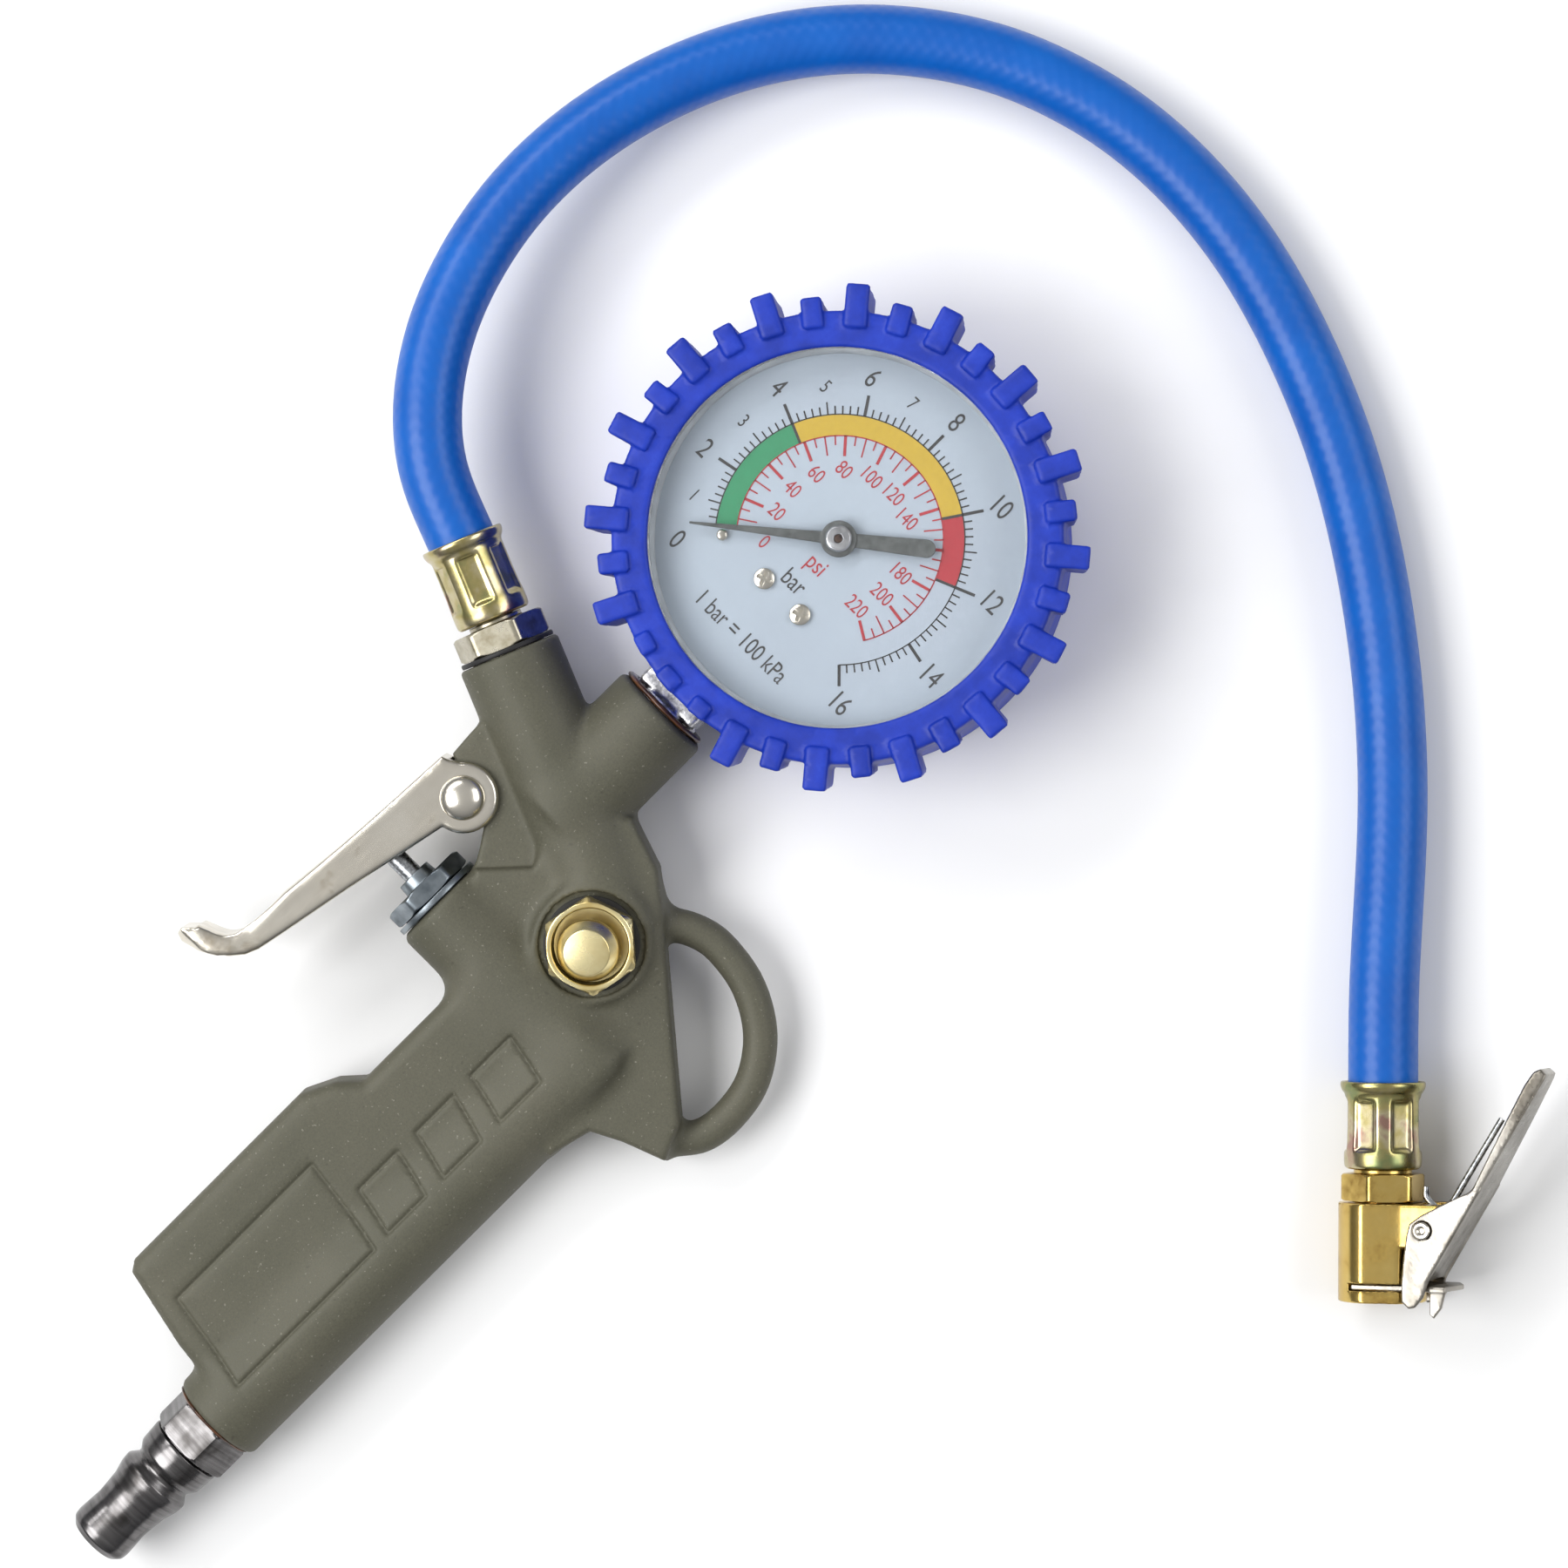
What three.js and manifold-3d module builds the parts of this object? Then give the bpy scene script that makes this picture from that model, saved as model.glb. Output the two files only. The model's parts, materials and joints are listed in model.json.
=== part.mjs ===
// A hand-held tyre inflator: a cast gun with a trigger valve, a bleed valve, a dial gauge in a
// rubber boot, and a short hose that ends in a clip-on chuck. It lies on its side on the ground.
// Millimetres. +X runs along the grip towards the gauge, +Y towards the trigger, +Z is up.
import * as THREE from "three";
import { mergeVertices } from "three/addons/utils/BufferGeometryUtils.js";
import Module from "manifold-3d";

const wasm = await Module();
wasm.setup();

// Where the gun's own frame (inlet face on the grip's axis) stands over the ground.
const ORIGIN_X = 96.36;
const STEM_Y = 5.2;
const AXIS_HEIGHT = 12.4;
const ROLL = THREE.MathUtils.degToRad(6);

const GAP = 0.3;

// Cast body
const TUBE_R = 8.7;
const GRIP_R = 8.4;
const GRIP_TOP = 28.7;
const GRIP_HALF = 6.6;
const STEM_V = 31.2;
const BOSS_END = 137.5;
const VALVE_U = 88.5;
const VALVE_TOP = 35;
const OUTLET = [126, 56];
const OUTLET_ANGLE = THREE.MathUtils.degToRad(67.4);
const THREAD_BORE_R = 6.9;
const THREAD_R = 6.5;
const PIVOT = [104, 44.3];
const EAR_HALF = 4;
const BLEED = [102.2, 12.1];
const HOOK_BAR_R = 2.9;

// Trigger and valve
const LEVER_HALF = 5.6;
const SHEET = 1.2;
const STEM_R = 1.75;

// Gauge
const GAUGE_U = 178.5;
const STEM_OFFSET = 2;
const CASE_R = 33.3;
const BOOT_R = 37;
const LENS_VIEW_R = 31;
const LUG_COUNT = 32;
const LONG_LUG_R = 41.4;
const SHORT_LUG_R = 39.3;
const BOOT_FRONT = 17.6;
const SECTOR_TEETH = 108;
const PINION_TEETH = 12;
const MODULE = 0.25;
const POINTER_REST = 218.6;
const SECTOR_PIVOT = [-10.6, 10.6];
const LINK_PIN = [-7.66, 6.55];
const TUBE_TIP = [6.2, 23.2];

// Hose and chuck
const HOSE_R = 5.75;
const HOSE_SIDES = 10;
const HOSE_STEPS = 16;
const HOSE_ROUTE = [
  [37.7, 49.15, 17.05], [42.1, 59.75, 18.3], [49.4, 68.45, 18.6], [59.4, 75.45, 18.1],
  [70.2, 79.95, 16.9], [81.5, 82.55, 15.4], [93, 83.15, 13.7], [104.5, 81.85, 11.9],
  [115.6, 78.85, 10.2], [126, 74.45, 8.6], [135.6, 68.45, 7.4], [144.3, 60.85, 6.5],
  [151.6, 52.05, 6], [157.4, 42.45, 5.8], [161.5, 31.85, 5.8], [164.2, 20.25, 5.8],
  [165, 7.45, 5.8], [163.8, -6.05, 5.8], [160.8, -18.75, 5.8], [156.6, -30.85, 5.8],
  [151.5, -42.45, 5.8], [145.2, -53.75, 5.8], [137.8, -64.95, 5.8], [129, -76.45, 5.8],
  [119.4, -87.25, 5.9], [110.5, -95.95, 6.2], [101.4, -104.15, 6.7], [92.3, -112.45, 7.2],
  [82.8, -121.85, 7.4],
];
const CHUCK_PLACE = [66.5, -138.15, 7.4];
const CHUCK_TURN = THREE.MathUtils.degToRad(-45);
const CHUCK_ROLL = THREE.MathUtils.degToRad(-14);
const CHUCK_PIVOT = [8.3, -1.45];
const FERRULE_LENGTH = 14.4;
const GUN_FERRULE_START = 6.1;
const CHUCK_FERRULE_START = 8.1;

// ---------------------------------------------------------------- helpers

function toSolid(geometry) {
  const bare = geometry.clone();
  bare.deleteAttribute("normal");
  bare.deleteAttribute("uv");
  const merged = mergeVertices(bare, 1e-4);
  const index = merged.index.array;
  const faces = [];
  for (let i = 0; i < index.length; i += 3) {
    const [a, b, c] = [index[i], index[i + 1], index[i + 2]];
    if (a !== b && b !== c && c !== a) faces.push(a, b, c);
  }
  const vertProperties = merged.attributes.position.array;
  const mesh = new wasm.Mesh({ numProp: 3, vertProperties, triVerts: new Uint32Array(faces) });
  return new wasm.Manifold(mesh);
}

function toGeometry(solid) {
  const mesh = solid.getMesh();
  const geometry = new THREE.BufferGeometry();
  geometry.setAttribute("position", new THREE.BufferAttribute(mesh.vertProperties, 3));
  geometry.setIndex(new THREE.BufferAttribute(mesh.triVerts, 1));
  geometry.computeVertexNormals();
  return geometry;
}

function joined(first, ...others) {
  return others.reduce((sum, solid) => sum.add(solid), first);
}

function cut(solid, ...tools) {
  return tools.reduce((rest, tool) => rest.subtract(tool), solid);
}

// A profile of [radius, distance] pairs, turned about the line from start along direction.
function turned(profile, start, direction, sides = 18) {
  const points = profile.map(([r, h]) => new THREE.Vector2(r, h));
  const geometry = new THREE.LatheGeometry(points, sides);
  const axis = new THREE.Vector3(...direction).normalize();
  const turn = new THREE.Quaternion().setFromUnitVectors(new THREE.Vector3(0, 1, 0), axis);
  geometry.applyQuaternion(turn);
  geometry.translate(...start);
  return toSolid(geometry);
}

function rod(start, end, radius, sides = 16) {
  const direction = end.map((value, i) => value - start[i]);
  const length = Math.hypot(...direction);
  return turned([[0, 0], [radius, 0], [radius, length], [0, length]], start, direction, sides);
}

// A ring between two radii, from low to high along direction.
function ring(inner, outer, low, high, centre, direction, sides = 14) {
  const profile = [[inner, low], [outer, low], [outer, high], [inner, high], [inner, low]];
  return turned(profile, centre, direction, sides);
}

function plate(outline, low, high, bevel = 0) {
  const shape = new THREE.Shape(outline.map(([x, y]) => new THREE.Vector2(x, y)));
  const options = {
    depth: high - low - 2 * bevel,
    bevelEnabled: bevel > 0,
    bevelThickness: bevel,
    bevelSize: bevel,
    bevelOffset: -bevel,
    bevelSegments: 2,
    curveSegments: 8,
  };
  const geometry = new THREE.ExtrudeGeometry(shape, options);
  geometry.translate(0, 0, low + bevel);
  return toSolid(geometry);
}

function block(low, high) {
  const size = high.map((value, i) => value - low[i]);
  const geometry = new THREE.BoxGeometry(...size);
  geometry.translate(...low.map((value, i) => value + size[i] / 2));
  return toSolid(geometry);
}

// A round bar swept along a smooth curve through points.
function bar(points, radius, sides, steps) {
  const curve = new THREE.CatmullRomCurve3(points.map((p) => new THREE.Vector3(...p)));
  const section = new THREE.Shape();
  for (let i = 0; i < sides; i += 1) {
    const angle = (i / sides) * 2 * Math.PI;
    const [x, y] = [radius * Math.cos(angle), radius * Math.sin(angle)];
    if (i === 0) section.moveTo(x, y);
    else section.lineTo(x, y);
  }
  const options = { steps, extrudePath: curve, curveSegments: 1 };
  return toSolid(new THREE.ExtrudeGeometry(section, options));
}

// A hexagonal bar by its width across flats, with one corner turned by turn about its axis.
function hexagon(acrossFlats, start, end, turn = 0) {
  const direction = end.map((value, i) => value - start[i]);
  const length = Math.hypot(...direction);
  const r = acrossFlats / Math.sqrt(3);
  const bevel = 0.06 * acrossFlats;
  const profile = [[0, 0], [r - bevel, 0], [r, bevel / 2], [r, length - bevel / 2]];
  profile.push([r - bevel, length], [0, length]);
  const geometry = new THREE.LatheGeometry(profile.map(([x, y]) => new THREE.Vector2(x, y)), 6);
  geometry.rotateY(turn);
  const axis = new THREE.Vector3(...direction).normalize();
  const swing = new THREE.Quaternion().setFromUnitVectors(new THREE.Vector3(0, 1, 0), axis);
  geometry.applyQuaternion(swing);
  geometry.translate(...start);
  return toSolid(geometry);
}

// A coil spring along direction, as one closed wire.
function coil(radius, wire, turns, length, start, direction) {
  const stepsPerTurn = 8;
  const points = [];
  for (let i = 0; i <= turns * stepsPerTurn; i += 1) {
    const angle = (i / stepsPerTurn) * 2 * Math.PI;
    const along = wire + ((length - 2 * wire) * i) / (turns * stepsPerTurn);
    points.push([radius * Math.cos(angle), along, radius * Math.sin(angle)]);
  }
  const geometry = toGeometry(bar(points, wire, 4, turns * stepsPerTurn));
  const axis = new THREE.Vector3(...direction).normalize();
  const swing = new THREE.Quaternion().setFromUnitVectors(new THREE.Vector3(0, 1, 0), axis);
  geometry.applyQuaternion(swing);
  geometry.translate(...start);
  return toSolid(geometry);
}

function arcPoints(centre, radius, fromDegrees, toDegrees, count) {
  const points = [];
  for (let i = 0; i <= count; i += 1) {
    const angle = THREE.MathUtils.degToRad(fromDegrees + ((toDegrees - fromDegrees) * i) / count);
    points.push([centre[0] + radius * Math.cos(angle), centre[1] + radius * Math.sin(angle)]);
  }
  return points;
}

function add(group, name, solid, material) {
  const mesh = new THREE.Mesh(toGeometry(solid), material.clone());
  mesh.name = name;
  group.add(mesh);
}

function material(color, metalness, roughness) {
  return new THREE.MeshStandardMaterial({ color, metalness, roughness });
}

const CAST = material("#6b6a5c", 0.2, 0.75);
const NICKEL = material("#b9b7ac", 0.9, 0.3);
const DARK_STEEL = material("#5a5d60", 0.8, 0.4);
const CHROME = material("#8e8f90", 1, 0.2);
const BRASS = material("#c9a24b", 0.9, 0.3);
const ZINC = material("#a9a06e", 0.9, 0.35);
const BLACK_RUBBER = material("#1b1b1c", 0, 0.8);
const BLUE_RUBBER = material("#2d41c8", 0, 0.6);
const HOSE_BLUE = material("#0a64c8", 0, 0.3);
const CASE_STEEL = material("#9a9c9e", 0.8, 0.35);
const DIAL_FACE = material("#bccbd9", 0, 0.6);
const POINTER_BLACK = material("#4a4c4c", 0, 0.6);
const CLEAR = material("#e8f0f4", 0, 0.1);
const SPRING_STEEL = material("#a5a7a8", 0.9, 0.35);

const X = [1, 0, 0];
const Y = [0, 1, 0];
const Z = [0, 0, 1];

// ---------------------------------------------------------------- gun

function gunBody() {
  const inletTube = turned(
    [[0, 0], [7.2, 0], [8.1, 1.1], [GRIP_R, 4.5], [GRIP_R, 90], [0, 90]],
    [0, 0, 0],
    X,
    20,
  );
  const grip = plate(
    [[4.8, -4], [82, -4], [82, 22.8], [58.8, 22.8], [55.3, 26], [49.7, GRIP_TOP],
      [10.2, GRIP_TOP], [8.6, 27.4], [5.2, 13], [4.8, 8.5]],
    -GRIP_HALF,
    GRIP_HALF,
    2.4,
  );
  const valveTube = turned(
    [[0, -7], [6.9, -7], [TUBE_R, -4], [TUBE_R, VALVE_TOP], [0, VALVE_TOP]],
    [VALVE_U, 0, 0],
    Y,
    20,
  );
  const fillet = plate(
    [[72, 20], [90, 20], [90, 30], [80.2, 30], [79.4, 26], [76.5, 22.9], [72, 22.4]],
    -6,
    6,
  );
  const lowerWeb = plate(
    [[72, -8], [79.5, -9.8], [82.2, -15], [84.9, -22.2], [91.2, -19.4], [109.8, 2.6],
      [114.5, 8], [118.5, 13], [121.5, 22], [112, 31], [104, 28], [97, 34.6], [90, 30], [80, 10]],
    -6,
    6,
    1.2,
  );
  const [outU, outV] = OUTLET;
  const outletDirection = [Math.cos(OUTLET_ANGLE), Math.sin(OUTLET_ANGLE)];
  const alongSpine = (distance) => [
    outU + distance * outletDirection[0],
    outV + distance * outletDirection[1],
    0,
  ];
  const spine = rod(alongSpine(-50), alongSpine(0), TUBE_R, 20);
  const boss = turned(
    [[0, 0], [TUBE_R, 0], [TUBE_R, BOSS_END - 113.4], [TUBE_R - 1.4, BOSS_END - 112], [0, BOSS_END - 112]],
    [112, STEM_V, 0],
    X,
    20,
  );
  const ear = plate(
    [...arcPoints(PIVOT, 5.4, 95, 265, 7), [100, 36.5], [97, 34.8], [105, 26], [116, 40],
      [117, 51.2], [112, 51], [107.8, 50.7], [107.4, 49.6]],
    -EAR_HALF,
    EAR_HALF,
  );
  const bleedBoss = rod([...BLEED, 0], [...BLEED, 8.3], 9.6, 24);
  const hook = bar(
    [[109, 8.8, 0], [113, 5, 0], [115.4, 0.8, 0], [116.2, -4, 0], [114.9, -11.5, 0],
      [110.8, -18.4, 0], [104.6, -23, 0], [98, -24.5, 0], [92, -23.8, 0], [87.4, -20.5, 0]],
    HOOK_BAR_R,
    8,
    16,
  );
  const solid = joined(inletTube, grip, valveTube, fillet, lowerWeb, spine, boss, ear, bleedBoss, hook);

  const inletBore = rod([-1, 0, 0], [12, 0, 0], THREAD_BORE_R);
  const airway = rod([11, 0, 0], [VALVE_U, 0, 0], 3.4, 16);
  const valveBore = turned(
    [[0, -6], [4.6, -6], [4.6, 4], [5.4, 4], [5.4, 22], [6.9, 22], [6.9, 36], [0, 36]],
    [VALVE_U, 0, 0],
    Y,
  );
  const crossway = rod([VALVE_U, 19.5, 0], [111, 19.5, 0], 2.2, 12);
  const spineBore = rod(alongSpine(-46), alongSpine(1), 3, 16);
  const outletBore = rod(alongSpine(-11), alongSpine(1), THREAD_BORE_R);
  const gaugeBore = rod([126, STEM_V, 0], [BOSS_END + 1, STEM_V, 0], THREAD_BORE_R);
  const gaugeWay = rod([116, STEM_V, 0], [127, STEM_V, 0], 2, 12);
  const bleedBore = turned(
    [[0, -3.6], [3.2, -3.6], [3.2, 1.8], [5.6, 1.8], [5.6, 7.2], [8.9, 7.2], [8.9, 12], [0, 12]],
    [...BLEED, 0],
    Z,
  );
  const bleedWay = rod([BLEED[0], BLEED[1], 0], [109, BLEED[1], 0], 1.5, 12);
  const pivotBore = rod([...PIVOT, -9], [...PIVOT, 9], 2.2, 16);
  return cut(
    solid,
    inletBore,
    airway,
    valveBore,
    crossway,
    spineBore,
    outletBore,
    gaugeBore,
    gaugeWay,
    bleedBore,
    bleedWay,
    pivotBore,
  );
}

function inletPlug() {
  const outer = turned(
    [[0, -29.3], [4.3, -29.3], [5.4, -28.2], [5.6, -27.2], [5.3, -22.6], [5.7, -18.4],
      [6.4, -16.2], [6.5, -14.5], [5.4, -13], [5.4, -12.4], [6.4, -11.1], [6.7, -6.7],
      [5.6, -6.5], [0, -6.5]],
    [0, 0, 0],
    X,
  );
  const hex = hexagon(13.2, [-6.7, 0, 0], [-GAP, 0, 0], 0.26);
  const thread = rod([-0.5, 0, 0], [10, 0, 0], THREAD_R);
  const bore = rod([-30, 0, 0], [11, 0, 0], 3.4, 16);
  return cut(joined(outer, hex, thread), bore);
}

function triggerLever() {
  const cheek = [
    [106.3, 51.4], [95, 52], [85, 52.6], [75, 53.3], [65, 54.1], [61, 54.8], [59, 53.6],
    [60, 51.7], [70, 49.2], [80, 47], [90, 44.9], [97.8, 43.3],
    ...arcPoints(PIVOT, 6.2, 190, 410, 14),
  ];
  const near = plate(cheek, LEVER_HALF - SHEET, LEVER_HALF);
  const far = plate(cheek, -LEVER_HALF, SHEET - LEVER_HALF);
  const top = plate(
    [[106.4, 51.6], [95, 52.2], [85, 52.8], [75, 53.5], [65, 54.4], [61.4, 55], [59.4, 56.2],
      [57.9, 58.4], [56.7, 61], [55.4, 62.1], [54.2, 61.8], [53.7, 60.4], [54.6, 57.4], [56.4, 54.6],
      [58.4, 52.9], [61, 53.2], [65, 52.9], [75, 52.1], [85, 51.4], [95, 50.9], [106.4, 50.4]],
    -LEVER_HALF,
    LEVER_HALF,
  );
  return cut(joined(near, far, top), rod([...PIVOT, -8], [...PIVOT, 8], 2.3, 16));
}

function triggerRivet() {
  return turned(
    [[0, -7], [2.2, -6.9], [3.6, -6.2], [3.75, -5.9], [1.95, -5.9], [1.95, 5.9], [3.75, 5.9],
      [3.6, 6.3], [2.2, 7.1], [0, 7.3]],
    [...PIVOT, 0],
    Z,
  );
}

function glandNut() {
  const hex = hexagon(14, [VALVE_U, 36.3, 0], [VALVE_U, 39.2, 0], 0.12);
  const neck = rod([VALVE_U, 39, 0], [VALVE_U, 41.2, 0], 3.1);
  const thread = rod([VALVE_U, 24, 0], [VALVE_U, 36.5, 0], THREAD_R);
  const bore = turned(
    [[0, 23], [3.4, 23], [3.4, 33], [2.05, 33], [2.05, 42], [0, 42]],
    [VALVE_U, 0, 0],
    Y,
    16,
  );
  return cut(joined(hex, neck, thread), bore);
}

function valveStem() {
  return turned(
    [[0, 8.5], [4.1, 8.5], [4.1, 10.4], [STEM_R, 10.4], [STEM_R, 50], [1, 50.6], [0, 50.7]],
    [VALVE_U, 0, 0],
    Y,
    16,
  );
}

function bleedBushing() {
  const at = (z) => [...BLEED, z];
  const hex = hexagon(14, at(8.4), at(13), 0.33);
  const thread = rod(at(2.1), at(8.6), 5.3);
  const bore = turned([[0, 1], [2.4, 1], [2.4, 8.8], [5.7, 8.8], [5.7, 14], [0, 14]], at(0), Z);
  return cut(joined(hex, thread), bore);
}

function bleedButton() {
  return turned(
    [[0, -0.9], [2.7, -0.9], [2.7, 0.5], [1.5, 0.5], [1.5, 11.6], [5.35, 11.6], [5.35, 14],
      [3.9, 15.2], [0, 15.2]],
    [...BLEED, 0],
    Z,
  );
}

function ferrule() {
  return turned(
    [[3.6, 0], [5.9, 0], [6.4, 0.8], [6.45, 2.6], [6.15, 4], [6.1, 9.5], [6.2, 12.2],
      [6.8, 13.1], [7, 14.1], [6.6, FERRULE_LENGTH], [3.6, FERRULE_LENGTH], [3.6, 0]],
    [0, 0, 0],
    X,
  );
}

function hoseFitting() {
  const hex = hexagon(14, [1.1, 0, 0], [5.2, 0, 0], 0.44);
  const thread = rod([-10, 0, 0], [1.4, 0, 0], THREAD_R);
  const barb = rod([5, 0, 0], [20, 0, 0], 3.2, 16);
  return cut(joined(hex, thread, barb), rod([-11, 0, 0], [22, 0, 0], 2, 12));
}

function buildGun(group) {
  add(group, "gun_body", gunBody(), CAST);
  add(group, "inlet_plug", inletPlug(), CHROME);
  add(group, "trigger_lever", triggerLever(), NICKEL);
  add(group, "trigger_rivet", triggerRivet(), NICKEL);
  add(group, "valve_gland_nut", glandNut(), DARK_STEEL);
  add(group, "gland_washer", ring(6.8, 8.3, 35.3, 36, [VALVE_U, 0, 0], Y), BLACK_RUBBER);
  add(group, "valve_stem", valveStem(), NICKEL);
  add(group, "stem_o_ring", ring(2.05, 3.1, 30.4, 31.8, [VALVE_U, 0, 0], Y), BLACK_RUBBER);
  add(group, "valve_poppet_seal", ring(2.05, 4.1, 10.7, 13.6, [VALVE_U, 0, 0], Y), BLACK_RUBBER);
  add(group, "valve_seat", ring(3, 5.1, 13.9, 17, [VALVE_U, 0, 0], Y), BRASS);
  add(group, "valve_spring", coil(3.3, 0.45, 5, 13.4, [VALVE_U, -5.4, 0], Y), SPRING_STEEL);
  add(group, "bleed_bushing", bleedBushing(), BRASS);
  add(group, "bleed_washer", ring(5.8, 8.4, 7.5, 8.1, [...BLEED, 0], Z), DARK_STEEL);
  add(group, "bleed_button", bleedButton(), BRASS);
  add(group, "bleed_spring", coil(3.6, 0.4, 2, 2.2, [...BLEED, 9.1], Z), SPRING_STEEL);
  add(group, "bleed_seal", ring(1.8, 2.7, 0.8, 1.8, [...BLEED, 0], Z), BLACK_RUBBER);

  const outlet = new THREE.Group();
  outlet.position.set(...OUTLET, 0);
  outlet.rotation.z = OUTLET_ANGLE;
  group.add(outlet);
  const ferruleGroup = new THREE.Group();
  ferruleGroup.position.x = GUN_FERRULE_START;
  outlet.add(ferruleGroup);
  add(outlet, "hose_fitting", hoseFitting(), NICKEL);
  add(outlet, "hose_fitting_seal", ring(6.8, 8.1, 0.2, 0.8, [0, 0, 0], X), BLACK_RUBBER);
  add(ferruleGroup, "hose_ferrule_gun", ferrule(), ZINC);
}

// ---------------------------------------------------------------- gauge
// Its frame: x towards the dial's top, y to the dial's left, z out of the dial.

function onDial(degrees, radius) {
  const angle = THREE.MathUtils.degToRad(degrees);
  return [radius * Math.sin(angle), -radius * Math.cos(angle)];
}

function gaugeSocket() {
  const half = 5.7;
  const halfWidth = 6.1;
  const shank = block(
    [-39.9, STEM_OFFSET - halfWidth, -half],
    [-31, STEM_OFFSET + halfWidth, half],
  );
  const inside = block([-31.3, -5.4, -5.4], [-10, 5.4, 4]);
  const thread = rod([-51.5, STEM_OFFSET, 0], [-39.5, STEM_OFFSET, 0], THREAD_R);
  const bore = rod([-53, STEM_OFFSET, 0], [-20, STEM_OFFSET, 0], 1.6, 12);
  return cut(joined(shank, inside, thread), bore);
}

function gaugeCase() {
  const cup = turned(
    [[0, -10.4], [CASE_R, -10.4], [CASE_R, 16.2], [CASE_R - 0.7, 16.2], [CASE_R - 0.7, 14.3],
      [CASE_R - 2, 14.3], [CASE_R - 2, 13.2], [CASE_R - 0.8, 13.2], [CASE_R - 0.8, -9.6], [0, -9.6]],
    [0, 0, 0],
    Z,
    32,
  );
  return cut(cup, block([-36, STEM_OFFSET - 6.4, -6], [-30, STEM_OFFSET + 6.4, 6]));
}

function lug(isLong, isShortened) {
  const outer = isLong ? LONG_LUG_R : SHORT_LUG_R;
  const reach = isShortened ? BOOT_R + 0.1 : outer;
  const half = isLong ? 1.95 : 1.75;
  const top = BOOT_FRONT + 0.8;
  const profile = [[34.2, 16.8], [35.5, 5], [reach - 1, 5], [reach, top - 0.8], [reach - 0.7, top]];
  profile.push([34.2, top]);
  const geometry = toGeometry(plate(profile, -half, half));
  geometry.rotateX(Math.PI / 2);
  return geometry;
}

function gaugeBoot() {
  const shell = turned(
    [[22, -AXIS_HEIGHT], [BOOT_R - 0.8, -AXIS_HEIGHT], [BOOT_R, 0.8 - AXIS_HEIGHT],
      [BOOT_R, BOOT_FRONT - 0.6], [BOOT_R - 0.6, BOOT_FRONT], [LENS_VIEW_R + 0.5, BOOT_FRONT],
      [LENS_VIEW_R, BOOT_FRONT - 0.5], [LENS_VIEW_R, 16.5], [CASE_R + GAP, 16.5],
      [CASE_R + GAP, -10.7], [22, -10.7], [22, -AXIS_HEIGHT]],
    [0, 0, 0],
    Z,
    48,
  );
  const step = 360 / LUG_COUNT;
  let boot = shell;
  for (let i = 0; i < LUG_COUNT; i += 1) {
    const dialAngle = 220.2 - i * step;
    const [x, y] = onDial(dialAngle, 1);
    const nearStem = i >= 27 && i <= 29;
    const geometry = lug(i % 2 === 0, nearStem);
    geometry.rotateZ(Math.atan2(y, x));
    boot = boot.add(toSolid(geometry));
  }
  return cut(boot, rod([-45, STEM_OFFSET, 0], [-30, STEM_OFFSET, 0], 8.9));
}

// Teeth of a spur gear from one angle to another, as an outline about the gear's centre.
function toothArc(teeth, fromDegrees, toDegrees, phaseDegrees) {
  const pitchR = (MODULE * teeth) / 2;
  const pitch = 360 / teeth;
  const tip = pitchR + 0.7 * MODULE;
  const root = pitchR - 1.1 * MODULE;
  const points = [];
  const first = Math.ceil((fromDegrees - phaseDegrees) / pitch);
  const last = Math.floor((toDegrees - phaseDegrees) / pitch);
  for (let i = first; i <= last; i += 1) {
    const middle = phaseDegrees + i * pitch;
    const corners = [[-0.3, root], [-0.1, tip], [0.1, tip], [0.3, root]];
    for (const [offset, r] of corners) {
      const angle = THREE.MathUtils.degToRad(middle + offset * pitch);
      points.push([r * Math.cos(angle), r * Math.sin(angle)]);
    }
  }
  return points;
}

function pointerArbor() {
  const meshAngle = THREE.MathUtils.radToDeg(Math.atan2(SECTOR_PIVOT[1], SECTOR_PIVOT[0]));
  const gap = meshAngle + 180 / PINION_TEETH;
  const pinion = plate(toothArc(PINION_TEETH, gap, gap + 359, gap), 6, 7.8);
  return joined(rod([0, 0, 4.2], [0, 0, 12], 0.7, 12), pinion);
}

function sectorGear() {
  const toCentre = THREE.MathUtils.radToDeg(Math.atan2(-SECTOR_PIVOT[1], -SECTOR_PIVOT[0]));
  const teeth = toothArc(SECTOR_TEETH, toCentre - 36, toCentre + 7, toCentre);
  const outline = [...arcPoints([0, 0], 2.2, toCentre + 20, toCentre + 310, 12), ...teeth];
  const shifted = outline.map(([x, y]) => [x + SECTOR_PIVOT[0], y + SECTOR_PIVOT[1]]);
  const shaft = rod([...SECTOR_PIVOT, 4.4], [...SECTOR_PIVOT, 9.7], 0.8, 12);
  const pin = rod([...LINK_PIN, 7], [...LINK_PIN, 8.8], 0.6, 10);
  return joined(plate(shifted, 6.3, 7.5), shaft, pin);
}

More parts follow.
